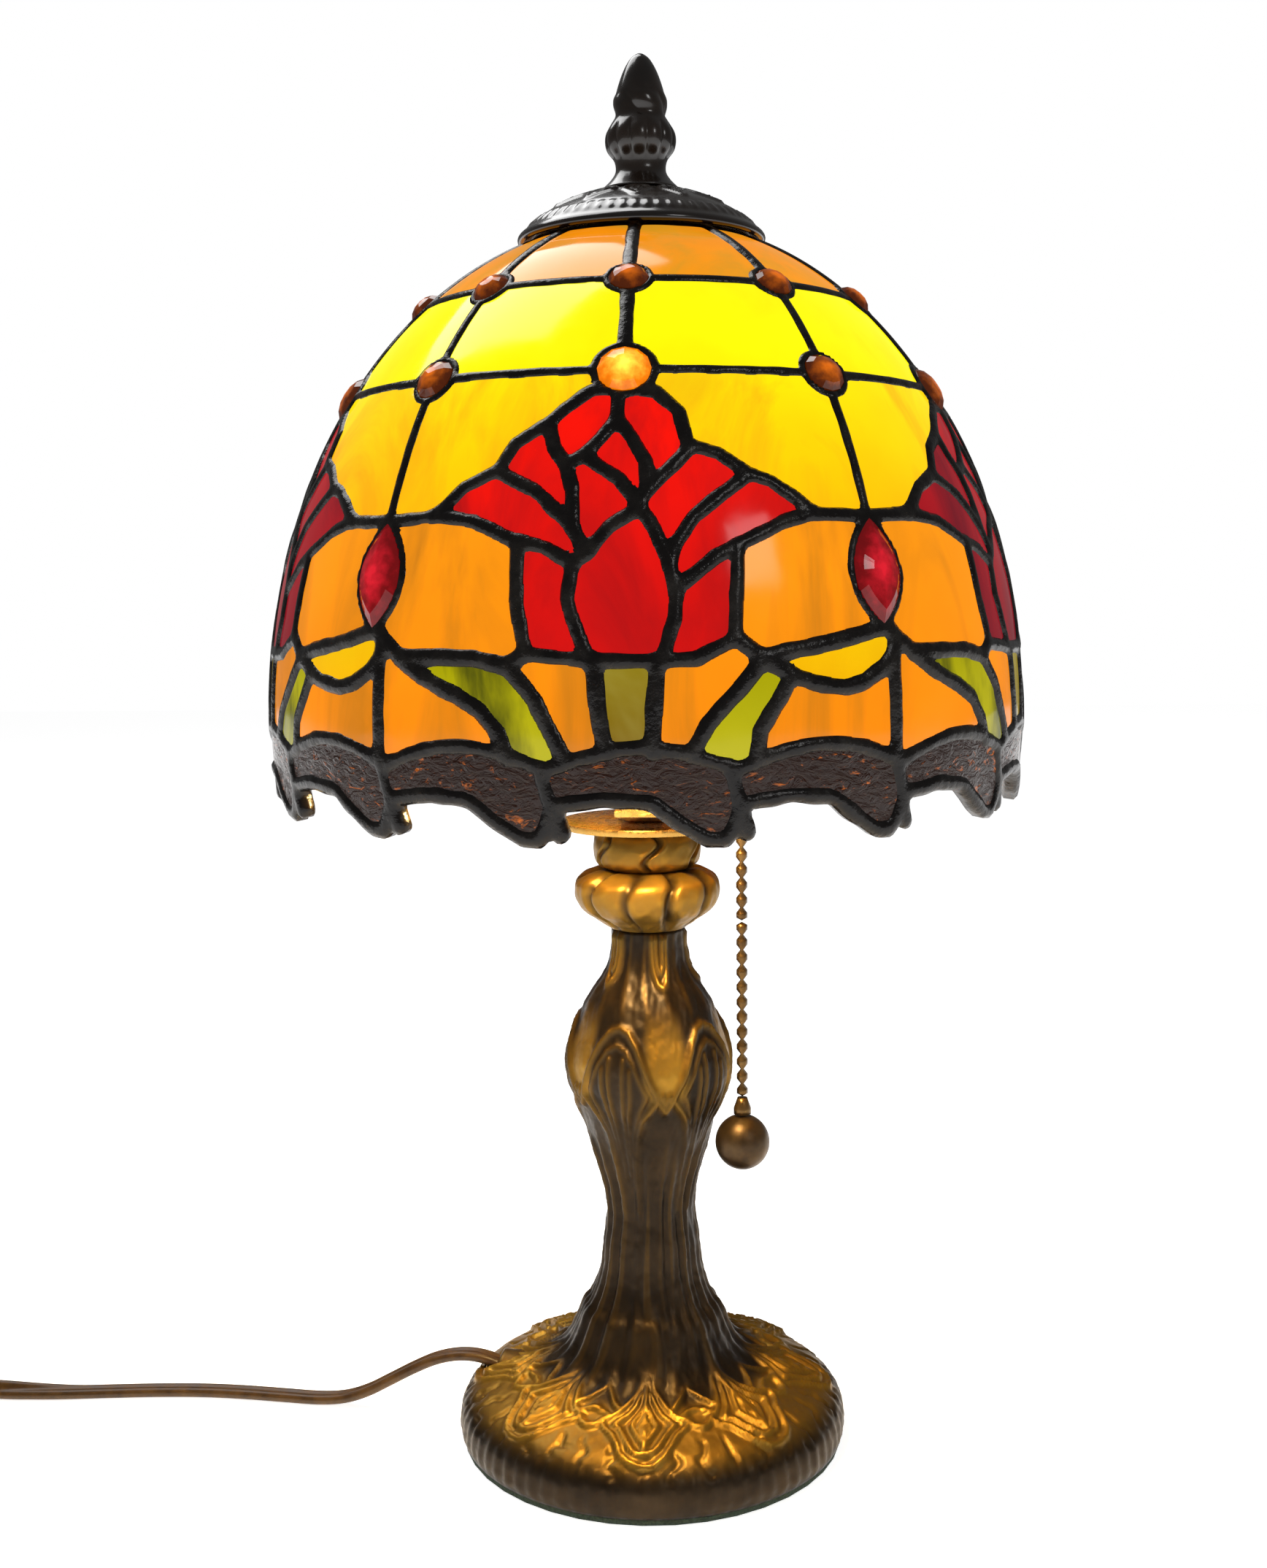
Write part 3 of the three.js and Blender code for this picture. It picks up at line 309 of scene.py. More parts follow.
def make_looks():
    looks = {key: lit_glass(*values) for key, *values in glasses}

    look = Look("ripple_glass", roughness=0.06, specular_ior_level=0.4)
    fleck = look.noise(150, 4, 0.65, 2.0, look.stretched((1, 1, 2.2)))
    # painted glints: spots of orange painted glow standing in for the bulb's light caught in the ripples
    painted_glint = look.spread(fleck, 0.6, 0.78)
    look.set("Base Color", look.mix(painted_glint, (0.004, 0.0016, 0.0008), (0.03, 0.008, 0.001)))
    look.set("Emission Color", look.mix(painted_glint, (0.02, 0.004, 0.0005), (0.85, 0.19, 0.006)))
    look.set("Emission Strength", look.spread(fleck, 0.35, 0.8, 0.5, 0.95))
    look.bump(look.noise(230, 4, 0.6, 1.5, look.stretched((1, 1, 1.8))), 0.7, 0.9)
    looks["ripple"] = look.material

    # The jewels' emission is a painted glow standing in for the bulb's light shining through them, painted
    # brighter in the middle.
    for name, outer, inner, strength in (
            ("amber_jewel", (0.13, 0.02, 0.001), (0.75, 0.15, 0.003), 0.95),
            ("glowing_jewel", (1.0, 0.22, 0.0), (1.0, 0.68, 0.06), 1.7),
            ("ruby_jewel", (0.33, 0.001, 0.006), (0.85, 0.012, 0.03), 0.8)):
        look = Look(name, roughness=0.05, specular_ior_level=0.45)
        middle = look.maths("ADD", look.attribute("middle"),
                            look.spread(look.noise(420, 3), 0.3, 0.7, -0.2, 0.2))
        colour = look.mix(look.spread(middle, 0.15, 0.95), outer, inner)
        look.set("Emission Color", colour)
        look.set("Emission Strength", look.spread(middle, 0.0, 1.0, 0.45 * strength, strength))
        look.set("Base Color", look.mix(0.85, colour, (0.01, 0.002, 0.0)))
        looks[name] = look.material

    look = Look("soldered_came", metallic=0.25, specular_ior_level=0.4)
    patina = look.noise(120, 5, 0.6)
    look.set("Base Color", look.mix(look.spread(patina, 0.45, 0.8), (0.007, 0.0055, 0.005),
                                    (0.03, 0.026, 0.022)))
    look.set("Roughness", look.spread(patina, 0.3, 0.75, 0.16, 0.34))
    look.bump(look.noise(230, 4, 0.6), 0.6, 0.8)
    looks["came"] = look.material

    look = Look("antique_bronze", specular_ior_level=0.35)
    mottle = look.noise(60, 5, 0.6)
    # The gold share: gold rub on the raised relief, and painted bulb light on surfaces that face up into the
    # shade.
    rub_and_painted_light = look.attribute("rub_and_painted_light")
    grain = look.noise(900, 2)
    dark = look.mix(look.spread(mottle, 0.4, 0.75), (0.02, 0.014, 0.009), (0.045, 0.03, 0.016))
    look.set("Base Color", look.mix(rub_and_painted_light, dark, (0.62, 0.34, 0.035)))
    look.set("Metallic", look.spread(rub_and_painted_light, 0.0, 1.0, 0.72, 0.85))
    look.set("Roughness", look.spread(grain, 0.3, 0.7, 0.36, 0.48))
    look.bump(grain, 0.06, 0.4)
    looks["bronze"] = look.material

    look = Look("dark_enamel", specular_ior_level=0.5, coat_weight=0.5, coat_roughness=0.08)
    tint = look.noise(45, 4)
    look.set("Base Color", look.mix(look.spread(tint, 0.4, 0.75), (0.006, 0.0035, 0.002),
                                    (0.022, 0.011, 0.005)))
    look.set("Roughness", look.spread(tint, 0.3, 0.7, 0.16, 0.3))
    look.bump(look.noise(320, 2), 0.06, 0.4)
    looks["enamel"] = look.material

    for name, base, worn, metallic, rough in (
            ("chain_bronze", (0.09, 0.05, 0.018), (0.2, 0.12, 0.04), 0.8, 0.3),
            ("brass", (0.45, 0.26, 0.06), (0.62, 0.4, 0.12), 0.9, 0.26),
            ("zinc_steel", (0.3, 0.3, 0.31), (0.5, 0.5, 0.5), 0.9, 0.4),
            ("dark_ball", (0.05, 0.032, 0.017), (0.12, 0.075, 0.032), 0.75, 0.36)):
        look = Look(name, metallic=metallic)
        tint = look.noise(110, 5, 0.6)
        look.set("Base Color", look.mix(look.spread(tint, 0.35, 0.7), base, worn))
        look.set("Roughness", look.spread(look.noise(600, 2), 0.3, 0.7, rough - 0.06, rough + 0.1))
        look.bump(look.noise(800, 2), 0.05, 0.3)
        looks[name] = look.material

    for name, base, worn, rough, scale, depth in (
            ("felt", (0.02, 0.032, 0.02), (0.06, 0.085, 0.06), 0.95, 1400, 0.5),
            ("card", (0.16, 0.075, 0.03), (0.26, 0.14, 0.07), 0.85, 500, 0.1),
            ("phenolic", (0.014, 0.01, 0.009), (0.03, 0.022, 0.02), 0.45, 300, 0.05),
            ("cord_vinyl", (0.05, 0.024, 0.006), (0.12, 0.062, 0.016), 0.4, 260, 0.06),
            ("plug_vinyl", (0.05, 0.026, 0.008), (0.09, 0.05, 0.018), 0.42, 180, 0.1),
            ("tie_plastic", (0.012, 0.012, 0.012), (0.03, 0.03, 0.03), 0.5, 400, 0.08)):
        look = Look(name, specular_ior_level=0.4)
        tint = look.noise(scale, 4, 0.6)
        look.set("Base Color", look.mix(look.spread(tint, 0.3, 0.7), base, worn))
        look.set("Roughness", look.spread(tint, 0.3, 0.7, rough - 0.05, min(1.0, rough + 0.06)))
        look.bump(tint, depth, 0.6)
        looks[name] = look.material

    look = Look("bulb_coating", roughness=0.3)
    frost = look.noise(90, 3)
    look.set("Base Color", look.mix(look.spread(frost, 0.3, 0.7), (0.9, 0.8, 0.6), (0.95, 0.88, 0.7)))
    look.set("Emission Color", look.mix(look.height(246, 300), (1.0, 0.62, 0.25), (1.0, 0.8, 0.45)))
    look.set("Emission Strength", look.spread(frost, 0.3, 0.7, 2.6, 3.0))
    looks["bulb"] = look.material
    return looks


looks = make_looks()


def refine(node, look, angle=35, bevel=0.12):
    """A welded copy of a working piece with softened edges and smooth shading."""
    source = nodes[node]
    piece = bpy.data.objects.new(f"fine_{node}", source.data.copy())
    bpy.context.scene.collection.objects.link(piece)
    weld = piece.modifiers.new("weld", "WELD")
    weld.merge_threshold = 1e-5
    if bevel:
        soften = piece.modifiers.new("bevel", "BEVEL")
        soften.width, soften.segments = bevel * MM, 2
        soften.limit_method, soften.angle_limit = "ANGLE", math.radians(angle)
    mesh = bpy.data.meshes.new_from_object(piece.evaluated_get(bpy.context.evaluated_depsgraph_get()))
    piece.modifiers.clear()
    piece.data = mesh
    mesh.shade_smooth()
    mesh.set_sharp_from_angle(angle=math.radians(angle + 8))
    store(piece, "rub_and_painted_light", [0.0] * len(mesh.vertices))
    return settle(piece, source["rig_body"], [node], looks[look])


# ---- Cord
cord_route = [
    (-13.9, 1.5, 9.5), (-23.9, 2.5, 9.8), (-31.8, 3.3, 11.3), (-37.8, 4.0, 13.5), (-43.3, 4.5, 15.9),
    (-47.7, 5.0, 17.5), (-52.7, 5.5, 18.3), (-58.2, 6.1, 17.9), (-64.1, 6.7, 16.2), (-70.6, 7.4, 13.0),
    (-77.6, 8.2, 9.0), (-84.5, 8.9, 5.2), (-91.5, 9.6, 2.7), (-99.5, 10.5, 1.7), (-110, 11.8, 1.6),
    (-122, 13.2, 1.6), (-135, 14.0, 1.6), (-149, 13.6, 1.6), (-163, 12.4, 1.6), (-177, 11.0, 1.6),
    (-190, 10.2, 1.6), (-201, 10.0, 1.6), (-211.7, 10.0, 1.6),
]
cord_exit = cord_route[4]  # the middle of the hole in the casting
cord_width, cord_thickness = 5.6, 2.8
coil_centre = (-230.0, -28.0)
coil_radius = 38.0                     # of the outermost of four columns of turns
coil_layers = (2.9, 8.65)              # heights of the two layers, the cord standing on its edge
coil_turns = 7.25
step_in, step_up, step_out = 0.85, 3.70, 4.55  # turns at which the cord first changes column or layer
step_share = 0.15        # of a turn, taken by one change of column or layer
column_step = 3.0
points_per_turn = 60
twist_start, twist_end = 62, 6  # how far before the coil the cord turns onto its edge


def coil_point(turn):
    inward = sum(float(smoothstep(k + step_in, k + step_in + step_share, turn)) for k in range(3))
    outward = sum(float(smoothstep(k + step_out, k + step_out + step_share, turn)) for k in range(3))
    radius = coil_radius - column_step * (inward - outward)
    rise = float(smoothstep(step_up, step_up + step_share, turn))
    angle = math.pi / 2 + 2 * math.pi * turn
    return (
        coil_centre[0] + radius * math.cos(angle),
        coil_centre[1] + radius * math.sin(angle),
        coil_layers[0] + (coil_layers[1] - coil_layers[0]) * rise,
    )


def make_cord():
    """A flat twin lead, lying flat on the table and turned on its edge where it is coiled."""
    straight = spline(cord_route[1:] + [coil_point(0.0)], 1.8)
    gone = np.r_[0, np.cumsum(np.linalg.norm(np.diff(straight, axis=0), axis=1))]
    twist = smoothstep(gone[-1] - twist_start, gone[-1] - twist_end, gone) * math.pi / 2
    straight[:, 2] += (cord_width - cord_thickness) / 2 * np.sin(twist) * (straight[:, 2] < 2.5)
    coil = np.array([coil_point(k / points_per_turn)
                     for k in range(1, int(coil_turns * points_per_turn) + 1)])
    plug_low, plug_high = (Vector(c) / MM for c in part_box("plug_body"))
    last = coil[-1]
    end = (last[0], plug_high.y - 1.2, (plug_low.z + plug_high.z) / 2)
    lead = spline([coil[-2], last, (last[0], last[1] - 8, last[2] - 0.4), end], 2.0)[2:]
    line = np.vstack([straight[:-1], coil, lead])
    twist = np.r_[twist[:-1], np.full(len(coil) + len(lead), math.pi / 2)]
    tangent = np.gradient(line, axis=0)
    tangent /= np.linalg.norm(tangent, axis=1)[:, None]
    side = np.cross(tangent, (0, 0, 1))
    side /= np.linalg.norm(side, axis=1)[:, None]
    up = np.cross(side, tangent)
    across = np.cos(twist)[:, None] * side + np.sin(twist)[:, None] * up
    through = np.cross(tangent, across)
    lobe, section = cord_thickness / 2, []
    for centre, angles in ((lobe, range(-135, 136, 27)), (-lobe, range(45, 316, 27))):
        section += [(centre + lobe * math.cos(math.radians(a)), lobe * math.sin(math.radians(a)))
                    for a in angles]
    rings = [line + u * across + v * through for u, v in section]
    verts = np.stack(rings, 1).reshape(-1, 3)
    count = len(section)
    faces = [*grid_faces(len(line), count), range(count)[::-1], range(len(verts) - count, len(verts))]
    cord = new_object("flat_lead", verts, faces)
    settle(cord, "base", ["power_cord", "cord_coil"], looks["cord_vinyl"])
    plug = [refine("plug_body", "plug_vinyl", bevel=1.2),
            refine("plug_blade_left", "brass"), refine("plug_blade_right", "brass"),
            refine("cord_tie", "tie_plastic", bevel=0.3)]


make_cord()

# ---- The leaded shade
dome_radius, dome_rise, dome_centre = 101.6, 132.0, 205.0
shell_depth = 4.6      # from the outer face of a came to its inner face
glass_below = 0.8      # the glass lies this far under the outer face of the cames
glass_thickness = 3.0
repeats, sector = 5, 72  # one tulip to each sector, in degrees
first_azimuth = -36
cell, row_cell = 0.5625, 0.42  # degrees of azimuth and of latitude between the points of the shell
crown_latitude, aperture_latitude, lowest_latitude = 73.3, 74.6, -11.2
joining = 7            # how sharply the cames' distances are joined where they meet
came_limit = 0.97      # glass is found where the field is over this
came_crown = 0.9       # how far a came's faces fall back from its middle to its edge


def latitude(z):
    return math.degrees(math.asin(min(1, (z - dome_centre) / dome_rise)))


def by_height(points):
    return [(azimuth, latitude(z)) for azimuth, z in points]


def on_dome(azimuth, lat, depth=0.0):
    b = np.radians(lat)
    slope_r, slope_z = dome_rise * np.cos(b), dome_radius * np.sin(b)
    size = np.hypot(slope_r, slope_z)
    radius = dome_radius * np.cos(b) - depth * slope_r / size
    height = dome_centre + dome_rise * np.sin(b) - depth * slope_z / size
    return placed(radius, azimuth, height)


def dome_scales(lat):
    b = np.radians(lat)
    around = dome_radius * np.cos(b) * math.pi / 180
    along = np.hypot(dome_radius * np.sin(b), dome_rise * np.cos(b)) * math.pi / 180
    return around, along


ring_1, ring_2 = latitude(313), latitude(289.5)
scallop = ([0, 0.03, 0.3, 0.55, 0.7, 0.85, 0.95, 1], [-8.2, -6.3, -5.6, -6, -8, -9.7, -9.8, -8.2])
scallop_span, scallop_start = 24, -33.5
marquise_place, marquise_height, marquise_width = (36, 243.5), 12.8, 4.1


def edge_latitude(azimuth):
    return np.interp(((azimuth - scallop_start) / scallop_span) % 1, *scallop)


def border_latitude(azimuth):
    return -2 + 2.2 * np.sin(np.pi * (((azimuth - scallop_start) / scallop_span) % 1))


def marquise(grow=1.0):
    turn = np.linspace(-1, 1, 17)
    side = marquise_width * grow * (1 - turn**2)
    z = marquise_place[1] + marquise_height * grow * turn
    right = [(marquise_place[0] + s, latitude(h)) for s, h in zip(side, z)]
    left = [(marquise_place[0] - s, latitude(h)) for s, h in zip(side, z)]
    return right + left[::-1]


def came_lines():
    """The centre lines of one sector's cames as (half width, points)."""
    lines = [
        (1.5, [(a, ring_1) for a in (-36, 36)]),
        (1.5, [(a, ring_2) for a in (-36, 36)]),
        (2.3, [(a, crown_latitude) for a in (-36, 36)]),
        (2.0, [(0, ring_1), (0, crown_latitude)]), (2.0, [(36, ring_1), (36, crown_latitude)]),
        (2.05, [(0, ring_1), (0, ring_2)]), (1.5, [(36, ring_1), (36, ring_2)]),
        (1.5, [(36, ring_2), (36, latitude(256))]),
        (1.3, marquise()),
    ]
    lines += [(2.0, line) for line in (
        [(0, 37.2), (5.2, 36.9), (8.6, 34.4), (9.6, 30.5), (14, 29.4), (18, 27.2), (21.3, 26.4), (27.5, 23)],
        [(-27.8, 23.2), (-23.5, 26.1), (-18.3, 28), (-16.3, 30.9), (-11.4, 33.2), (-9.2, 34.9),
         (-5.2, 37.1), (0, 37.2)],
        [(27.5, 23), (22.5, 22.1), (15.6, 19.7), (15, 14.5), (14.6, 10.5), (9.5, 8.6), (4.2, 8.4),
         (-3.4, 8.5)],
        [(-3.4, 8.5), (-12.2, 9.2), (-13.7, 14), (-14.1, 20.2), (-21, 22.5), (-27.8, 23.2)],
    )]
    lines += [(2.0, by_height(points)) for points in (
        ((27.5, 256.5), (36, 256)), ((-27.8, 257), (-36, 256)),
        # petals within the tulip
        ((-0.8, 285), (-0.9, 278), (1.4, 273.5), (3.4, 268), (3.6, 261.8), (2.3, 258.6)),
        ((-0.9, 278), (-3, 274), (-5.4, 269.8), (-8.1, 267.6), (-7, 262), (-6.5, 253.5)),
        ((-5.4, 269.8), (-3.6, 267.6), (-0.2, 264), (2.2, 258.7)),
        ((-8.1, 267.6), (-10.2, 272), (-11.4, 277)),
        ((-18.3, 266.5), (-12.2, 262), (-8, 256), (-6.5, 253.5), (-4.6, 248), (-6.4, 245.5)),
        ((1.8, 257.2), (-1.6, 253.8), (-4.6, 248)),
        ((3.6, 261.8), (6, 265.3), (9.4, 270.5)),
        ((2.3, 258.6), (4.6, 252.5), (6.3, 245.5), (7.1, 240.3), (6.9, 234), (5.4, 226), (5, 224.5)),
        ((17.8, 265), (14.2, 261), (9.8, 255.8), (7.3, 250), (6.3, 245.5)),
        ((7.1, 240.3), (9.8, 243.5), (12.5, 247), (15.6, 249.5)),
        ((-14, 251), (-10.2, 249.2), (-6.4, 245.5), (-7, 238), (-5.4, 230), (-4.2, 225)),
    )]
    lines += [(2.3, by_height(points)) for points in (
        ((-3.5, 224.6), (-2.9, 214), (-2.1, 204.5)),
        ((4.5, 224.5), (4.1, 214), (3.9, 204.5)),
        ((14.6, 229.5), (18.1, 224.5), (14.6, 217.5), (10.8, 210.5), (9, 204.5)),
        ((18.1, 224.5), (21.9, 220.7), (19.8, 215), (17.5, 209), (17, 204)),
        ((18.1, 224.5), (22, 226.3), (28.5, 228), (34.5, 230.3), (37, 231)),
        ((21.9, 220.7), (25, 218.9), (29.5, 217.5), (32.5, 218.8), (35.8, 222), (38.2, 227)),
        ((36, 231), (37.5, 230), (37.5, 203)),
        ((-12.2, 226.3), (-14.6, 223.2), (-11, 216), (-9, 209), (-7.3, 203.5)),
        ((-14.6, 223.2), (-19.5, 225), (-31, 225.3), (-34.5, 229.8)),
        ((-31, 225), (-27, 220.5), (-22, 217), (-18.2, 213.3), (-16, 208.5), (-14.6, 203)),
    )]
    around = np.arange(scallop_start - 2.5, scallop_start + sector + 2.5, 1.0)
    lines.append((2.0, [(a, float(border_latitude(a))) for a in around]))
    lines.append((2.0, [(a, float(edge_latitude(a)) + 0.95) for a in around]))
    for k in range(3):
        seam = scallop_start + scallop_span * k
        lines.append((2.0, [(seam - 1, latitude(201)), (seam + 1.5, latitude(186))]))
    return lines


jewels = (  # azimuth, latitude, radius, radius with its surround, look
    (0, ring_1, 4.25, 6.4, "amber_jewel"), (36, ring_1, 4.25, 6.4, "amber_jewel"),
    (0, ring_2, 5.6, 8.2, "glowing_jewel"), (36, ring_2, 4.7, 7.0, "amber_jewel"),
)
wine_sectors = (1, 4)  # the tulips to the right and left of the front one are given the darker wine colour
regions = (  # node, look, and the azimuth and height of a place in each piece of glass
    ("upper", "row_1", ((18, 322), (-18, 322))),
    ("upper", "row_2", ((18, 301), (-18, 301))),
    ("upper", "row_3", ((22, 278), (-22, 278))),
    ("skirt", "orange", ((24, 242), (-22, 242), (9, 217), (-25, 213), (-8, 215), (27, 210))),
    ("skirt", "crescent", ((30, 223),)),
    ("skirt", "leaf", ((15, 213), (-17, 216))),
    ("skirt", "stem", ((1, 214),)),
    ("tulip", "red", ((1, 240), (4.5, 275), (-6, 277), (0, 267), (-3.5, 260), (-12, 267), (-15, 258),
                      (9, 264), (15, 256), (-10, 238), (11, 236))),
    ("border", "ripple", ((-21.5, 195), (2.5, 195), (26.5, 195))),
)


def came_field(azimuth, lat):
    """The distance to the nearest centre line as a share of its half width: under 1 on a came."""
    around, along = dome_scales(lat)
    total = np.zeros(azimuth.shape)
    for half_width, line in came_lines():
        for shift in (-sector, 0, sector):
            moved = [(a + shift, b) for a, b in line]
            away = distance_to([moved], azimuth, lat, around, along) / half_width
            total += np.exp(-joining * np.minimum(away, 20))
    field = -np.log(np.maximum(total, 1e-40)) / joining
    for a, b, inner, outer, _ in jewels:
        for shift in (-sector, 0, sector):
            reach = np.hypot((azimuth - a - shift) * around, (lat - b) * along)
            ring = np.abs(reach - (inner + outer) / 2) * 2 / (outer - inner)
            field = np.where(reach < (inner + outer) / 2, ring, np.minimum(field, ring))
    return field


def grid_shell(name, keep, field, place, outer_depth, inner_depth, snap):
    """A closed shell over the kept cells of a grid that closes on itself in azimuth. Where snap is given,
    the corners along its border move onto the line where the field equals snap."""
    rows, columns = field.shape
    quads = grid_faces(rows, columns)[keep.ravel()]
    used, faces = np.unique(quads, return_inverse=True)
    faces = faces.reshape(-1, 4)
    edges = np.concatenate([faces[:, [i, (i + 1) % 4]] for i in range(4)])
    key = edges[:, 0].astype(np.int64) * len(used) + edges[:, 1]
    back = edges[:, 1].astype(np.int64) * len(used) + edges[:, 0]
    border = edges[~np.isin(back, key)]
    azimuth, lat = (v.ravel()[used].astype(float) for v in place)
    value = field.ravel()[used].astype(float)
    if snap is not None:
        around, along = dome_scales(place[1])
        step_a, step_b = place[0][0, 1] - place[0][0, 0], place[1][1, 0] - place[1][0, 0]
        slope_a = (np.roll(field, -1, 1) - np.roll(field, 1, 1)) / (2 * step_a * around)
        slope_b = np.gradient(field, axis=0) / (step_b * along)
        ga, gb = slope_a.ravel()[used], slope_b.ravel()[used]
        move = np.clip((snap - value) / np.maximum(ga**2 + gb**2, 0.03), -3, 3)
        size = np.hypot(ga, gb) * np.abs(move)
        move *= np.minimum(1, 0.75 / np.maximum(size, 1e-9))
        rim = np.unique(border)
        around, along = dome_scales(lat)
        azimuth[rim] += (move * ga / around)[rim]
        lat[rim] += (move * gb / along)[rim]
        value[rim] = snap
    outer = on_dome(azimuth, lat, outer_depth(value))
    inner = on_dome(azimuth, lat, inner_depth(value))
    count = len(used)
    walls = np.column_stack([border[:, 1], border[:, 0], border[:, 0] + count, border[:, 1] + count])
    faces = np.concatenate([faces, faces[:, ::-1] + count, walls])
    return new_object(name, np.concatenate([outer, inner]), faces)


def flood(open_cells):
    """Numbers the connected groups of open cells, with the first and last columns joined."""
    rows, columns = open_cells.shape
    label = np.where(open_cells, 0, -1)
    found = 0
    for row, column in np.argwhere(open_cells):
        if label[row, column] != 0:
            continue
        found += 1
        label[row, column] = found
        waiting = [(row, column)]
        while waiting:
            r, c = waiting.pop()
            for nr, nc in ((r - 1, c), (r + 1, c), (r, (c - 1) % columns), (r, (c + 1) % columns)):
                if 0 <= nr < rows and label[nr, nc] == 0:
                    label[nr, nc] = found
                    waiting.append((nr, nc))
    return label


def spread_labels(label, steps):
    """Grows each labelled group by a few cells into the cames around it."""
    for _ in range(steps):
        for axis, way in ((0, 1), (0, -1), (1, 1), (1, -1)):
            moved = np.roll(label, way, axis)
            if axis == 0:
                moved[0 if way == 1 else -1] = -1
            label = np.where((label <= 0) & (moved > 0), moved, label)
    return label


def make_jewel(index, azimuth, lat, radius, look, outline=None):
    sides, levels = 12, ((1.0, 0.9), (0.97, 0.2), (0.72, -1.0), (0.38, -1.7))
    around, along = dome_scales(lat)
    turn = np.radians(np.arange(sides) * 360 / sides)
    if outline is None:
        shape = np.column_stack([radius * np.cos(turn) / around, radius * np.sin(turn) / along])
    else:
        shape = np.array(outline[:16] + outline[17:33]) - (azimuth, lat)
        sides = len(shape)
    verts, middle = [], []
    for share, depth in levels:
        verts.append(on_dome(azimuth + share * shape[:, 0], lat + share * shape[:, 1], depth))
        middle += [1 - share] * sides
    verts.append(on_dome(azimuth, lat, np.array([-1.9])))
    middle.append(1.0)
    verts.append(on_dome(azimuth + shape[:, 0], lat + shape[:, 1], 3.6))
    middle += [0.0] * sides
    verts.append(on_dome(azimuth, lat, np.array([4.4])))
    middle.append(1.0)
    faces = [tuple(f) for f in grid_faces(len(levels), sides)]
    top, back = len(levels) * sides, len(levels) * sides + 1
    for k in range(sides):
        n = (k + 1) % sides
        faces.append((top - sides + k, top - sides + n, top))
        faces.append((back + n, back + k, back + sides))
        faces.append((n, k, back + k, back + n))
    jewel = new_object(f"jewel_{index:02d}", np.concatenate(verts), faces, smooth=False)
    store(jewel, "middle", middle)
    return settle(jewel, "shade", [], looks[look])


def make_shade():
    columns = int(round(360 / cell))
    rows = int(round((aperture_latitude - lowest_latitude) / row_cell)) + 1
    azimuth, lat = np.meshgrid(np.arange(columns) * cell + first_azimuth,
                               np.linspace(lowest_latitude, aperture_latitude, rows))
    part = int(sector / cell)
    field = np.tile(came_field(azimuth[:, :part], lat[:, :part]), (1, repeats))
    field = field * (1 + 0.05 * Waves(11, 7.0)(on_dome(azimuth, lat)))
    beside = np.roll(field, -1, 1)
    middle = (field[:-1] + field[1:] + beside[:-1] + beside[1:]) / 4
    cell_lat = (lat[:-1] + lat[1:]) / 2
    cell_azimuth = azimuth[:-1] + cell / 2
    came = grid_shell("lead_cames", middle < 1, field, (azimuth, lat),
                      lambda f: 0.08 + 0.95 * np.clip(f, 0, 1) ** 2.4,
                      lambda f: shell_depth - came_crown * np.clip(f, 0, 1) ** 2.4, 1.0)
    settle(came, "shade", ["came_lattice"], looks["came"])

    outside = cell_lat < edge_latitude(cell_azimuth)
    label = spread_labels(flood((middle >= came_limit) & ~outside), 2)
    label[outside] = -1
    around, along = dome_scales(cell_lat)
    in_jewel = np.zeros(label.shape, bool)
    groups = {}
    for k in range(repeats):
        for a, b, inner, outer, _ in jewels:
            off = (cell_azimuth - a - sector * k + 180) % 360 - 180
            in_jewel |= np.hypot(off * around, (cell_lat - b) * along) < (inner + outer) / 2
        for kind, look, places in regions:
            if look == "red" and k in wine_sectors:
                look = "wine"
            for a, z in places:
                column = int(round((a + sector * k - first_azimuth) / cell)) % columns
                row = int(round((latitude(z) - lowest_latitude) / (lat[1, 0] - lat[0, 0])))
                groups.setdefault((kind, k), {}).setdefault(label[row, column], look)
    for (kind, k), members in sorted(groups.items()):
        chosen = np.isin(label, list(members)) & ~in_jewel
        name = f"{kind}_glass_{k + 1}"
        panel = grid_shell(f"fine_{name}", chosen, field, (azimuth, lat),
                           lambda f: np.full(f.shape, glass_below),
                           lambda f: np.full(f.shape, glass_below + glass_thickness), None)
        names = sorted(set(members.values()))
        settle(panel, "shade", [name], [looks[n] for n in names])
        which = np.zeros(label.shape, np.int32)
        for number, look in members.items():
            which[label == number] = names.index(look)
        order = which[chosen]
        slots = np.zeros(len(panel.data.polygons), np.int32)
        slots[: 2 * len(order)] = np.tile(order, 2)
        panel.data.polygons.foreach_set("material_index", slots)
    index = 0
    for k in range(repeats):
        for a, b, inner, outer, look in jewels:
            index += 1
            # Only the front sector's large jewel keeps the brighter painted glow; the others get the amber
            # painted glow.
            if k and look == "glowing_jewel":
                look = "amber_jewel"
            make_jewel(index, a + sector * k, b, inner * 0.7 + outer * 0.3, look)
        index += 1
        outline = [(a + sector * k, b) for a, b in marquise(0.97)]
        make_jewel(index, marquise_place[0] + sector * k, latitude(marquise_place[1]), 1, "ruby_jewel",
                   outline)


make_shade()


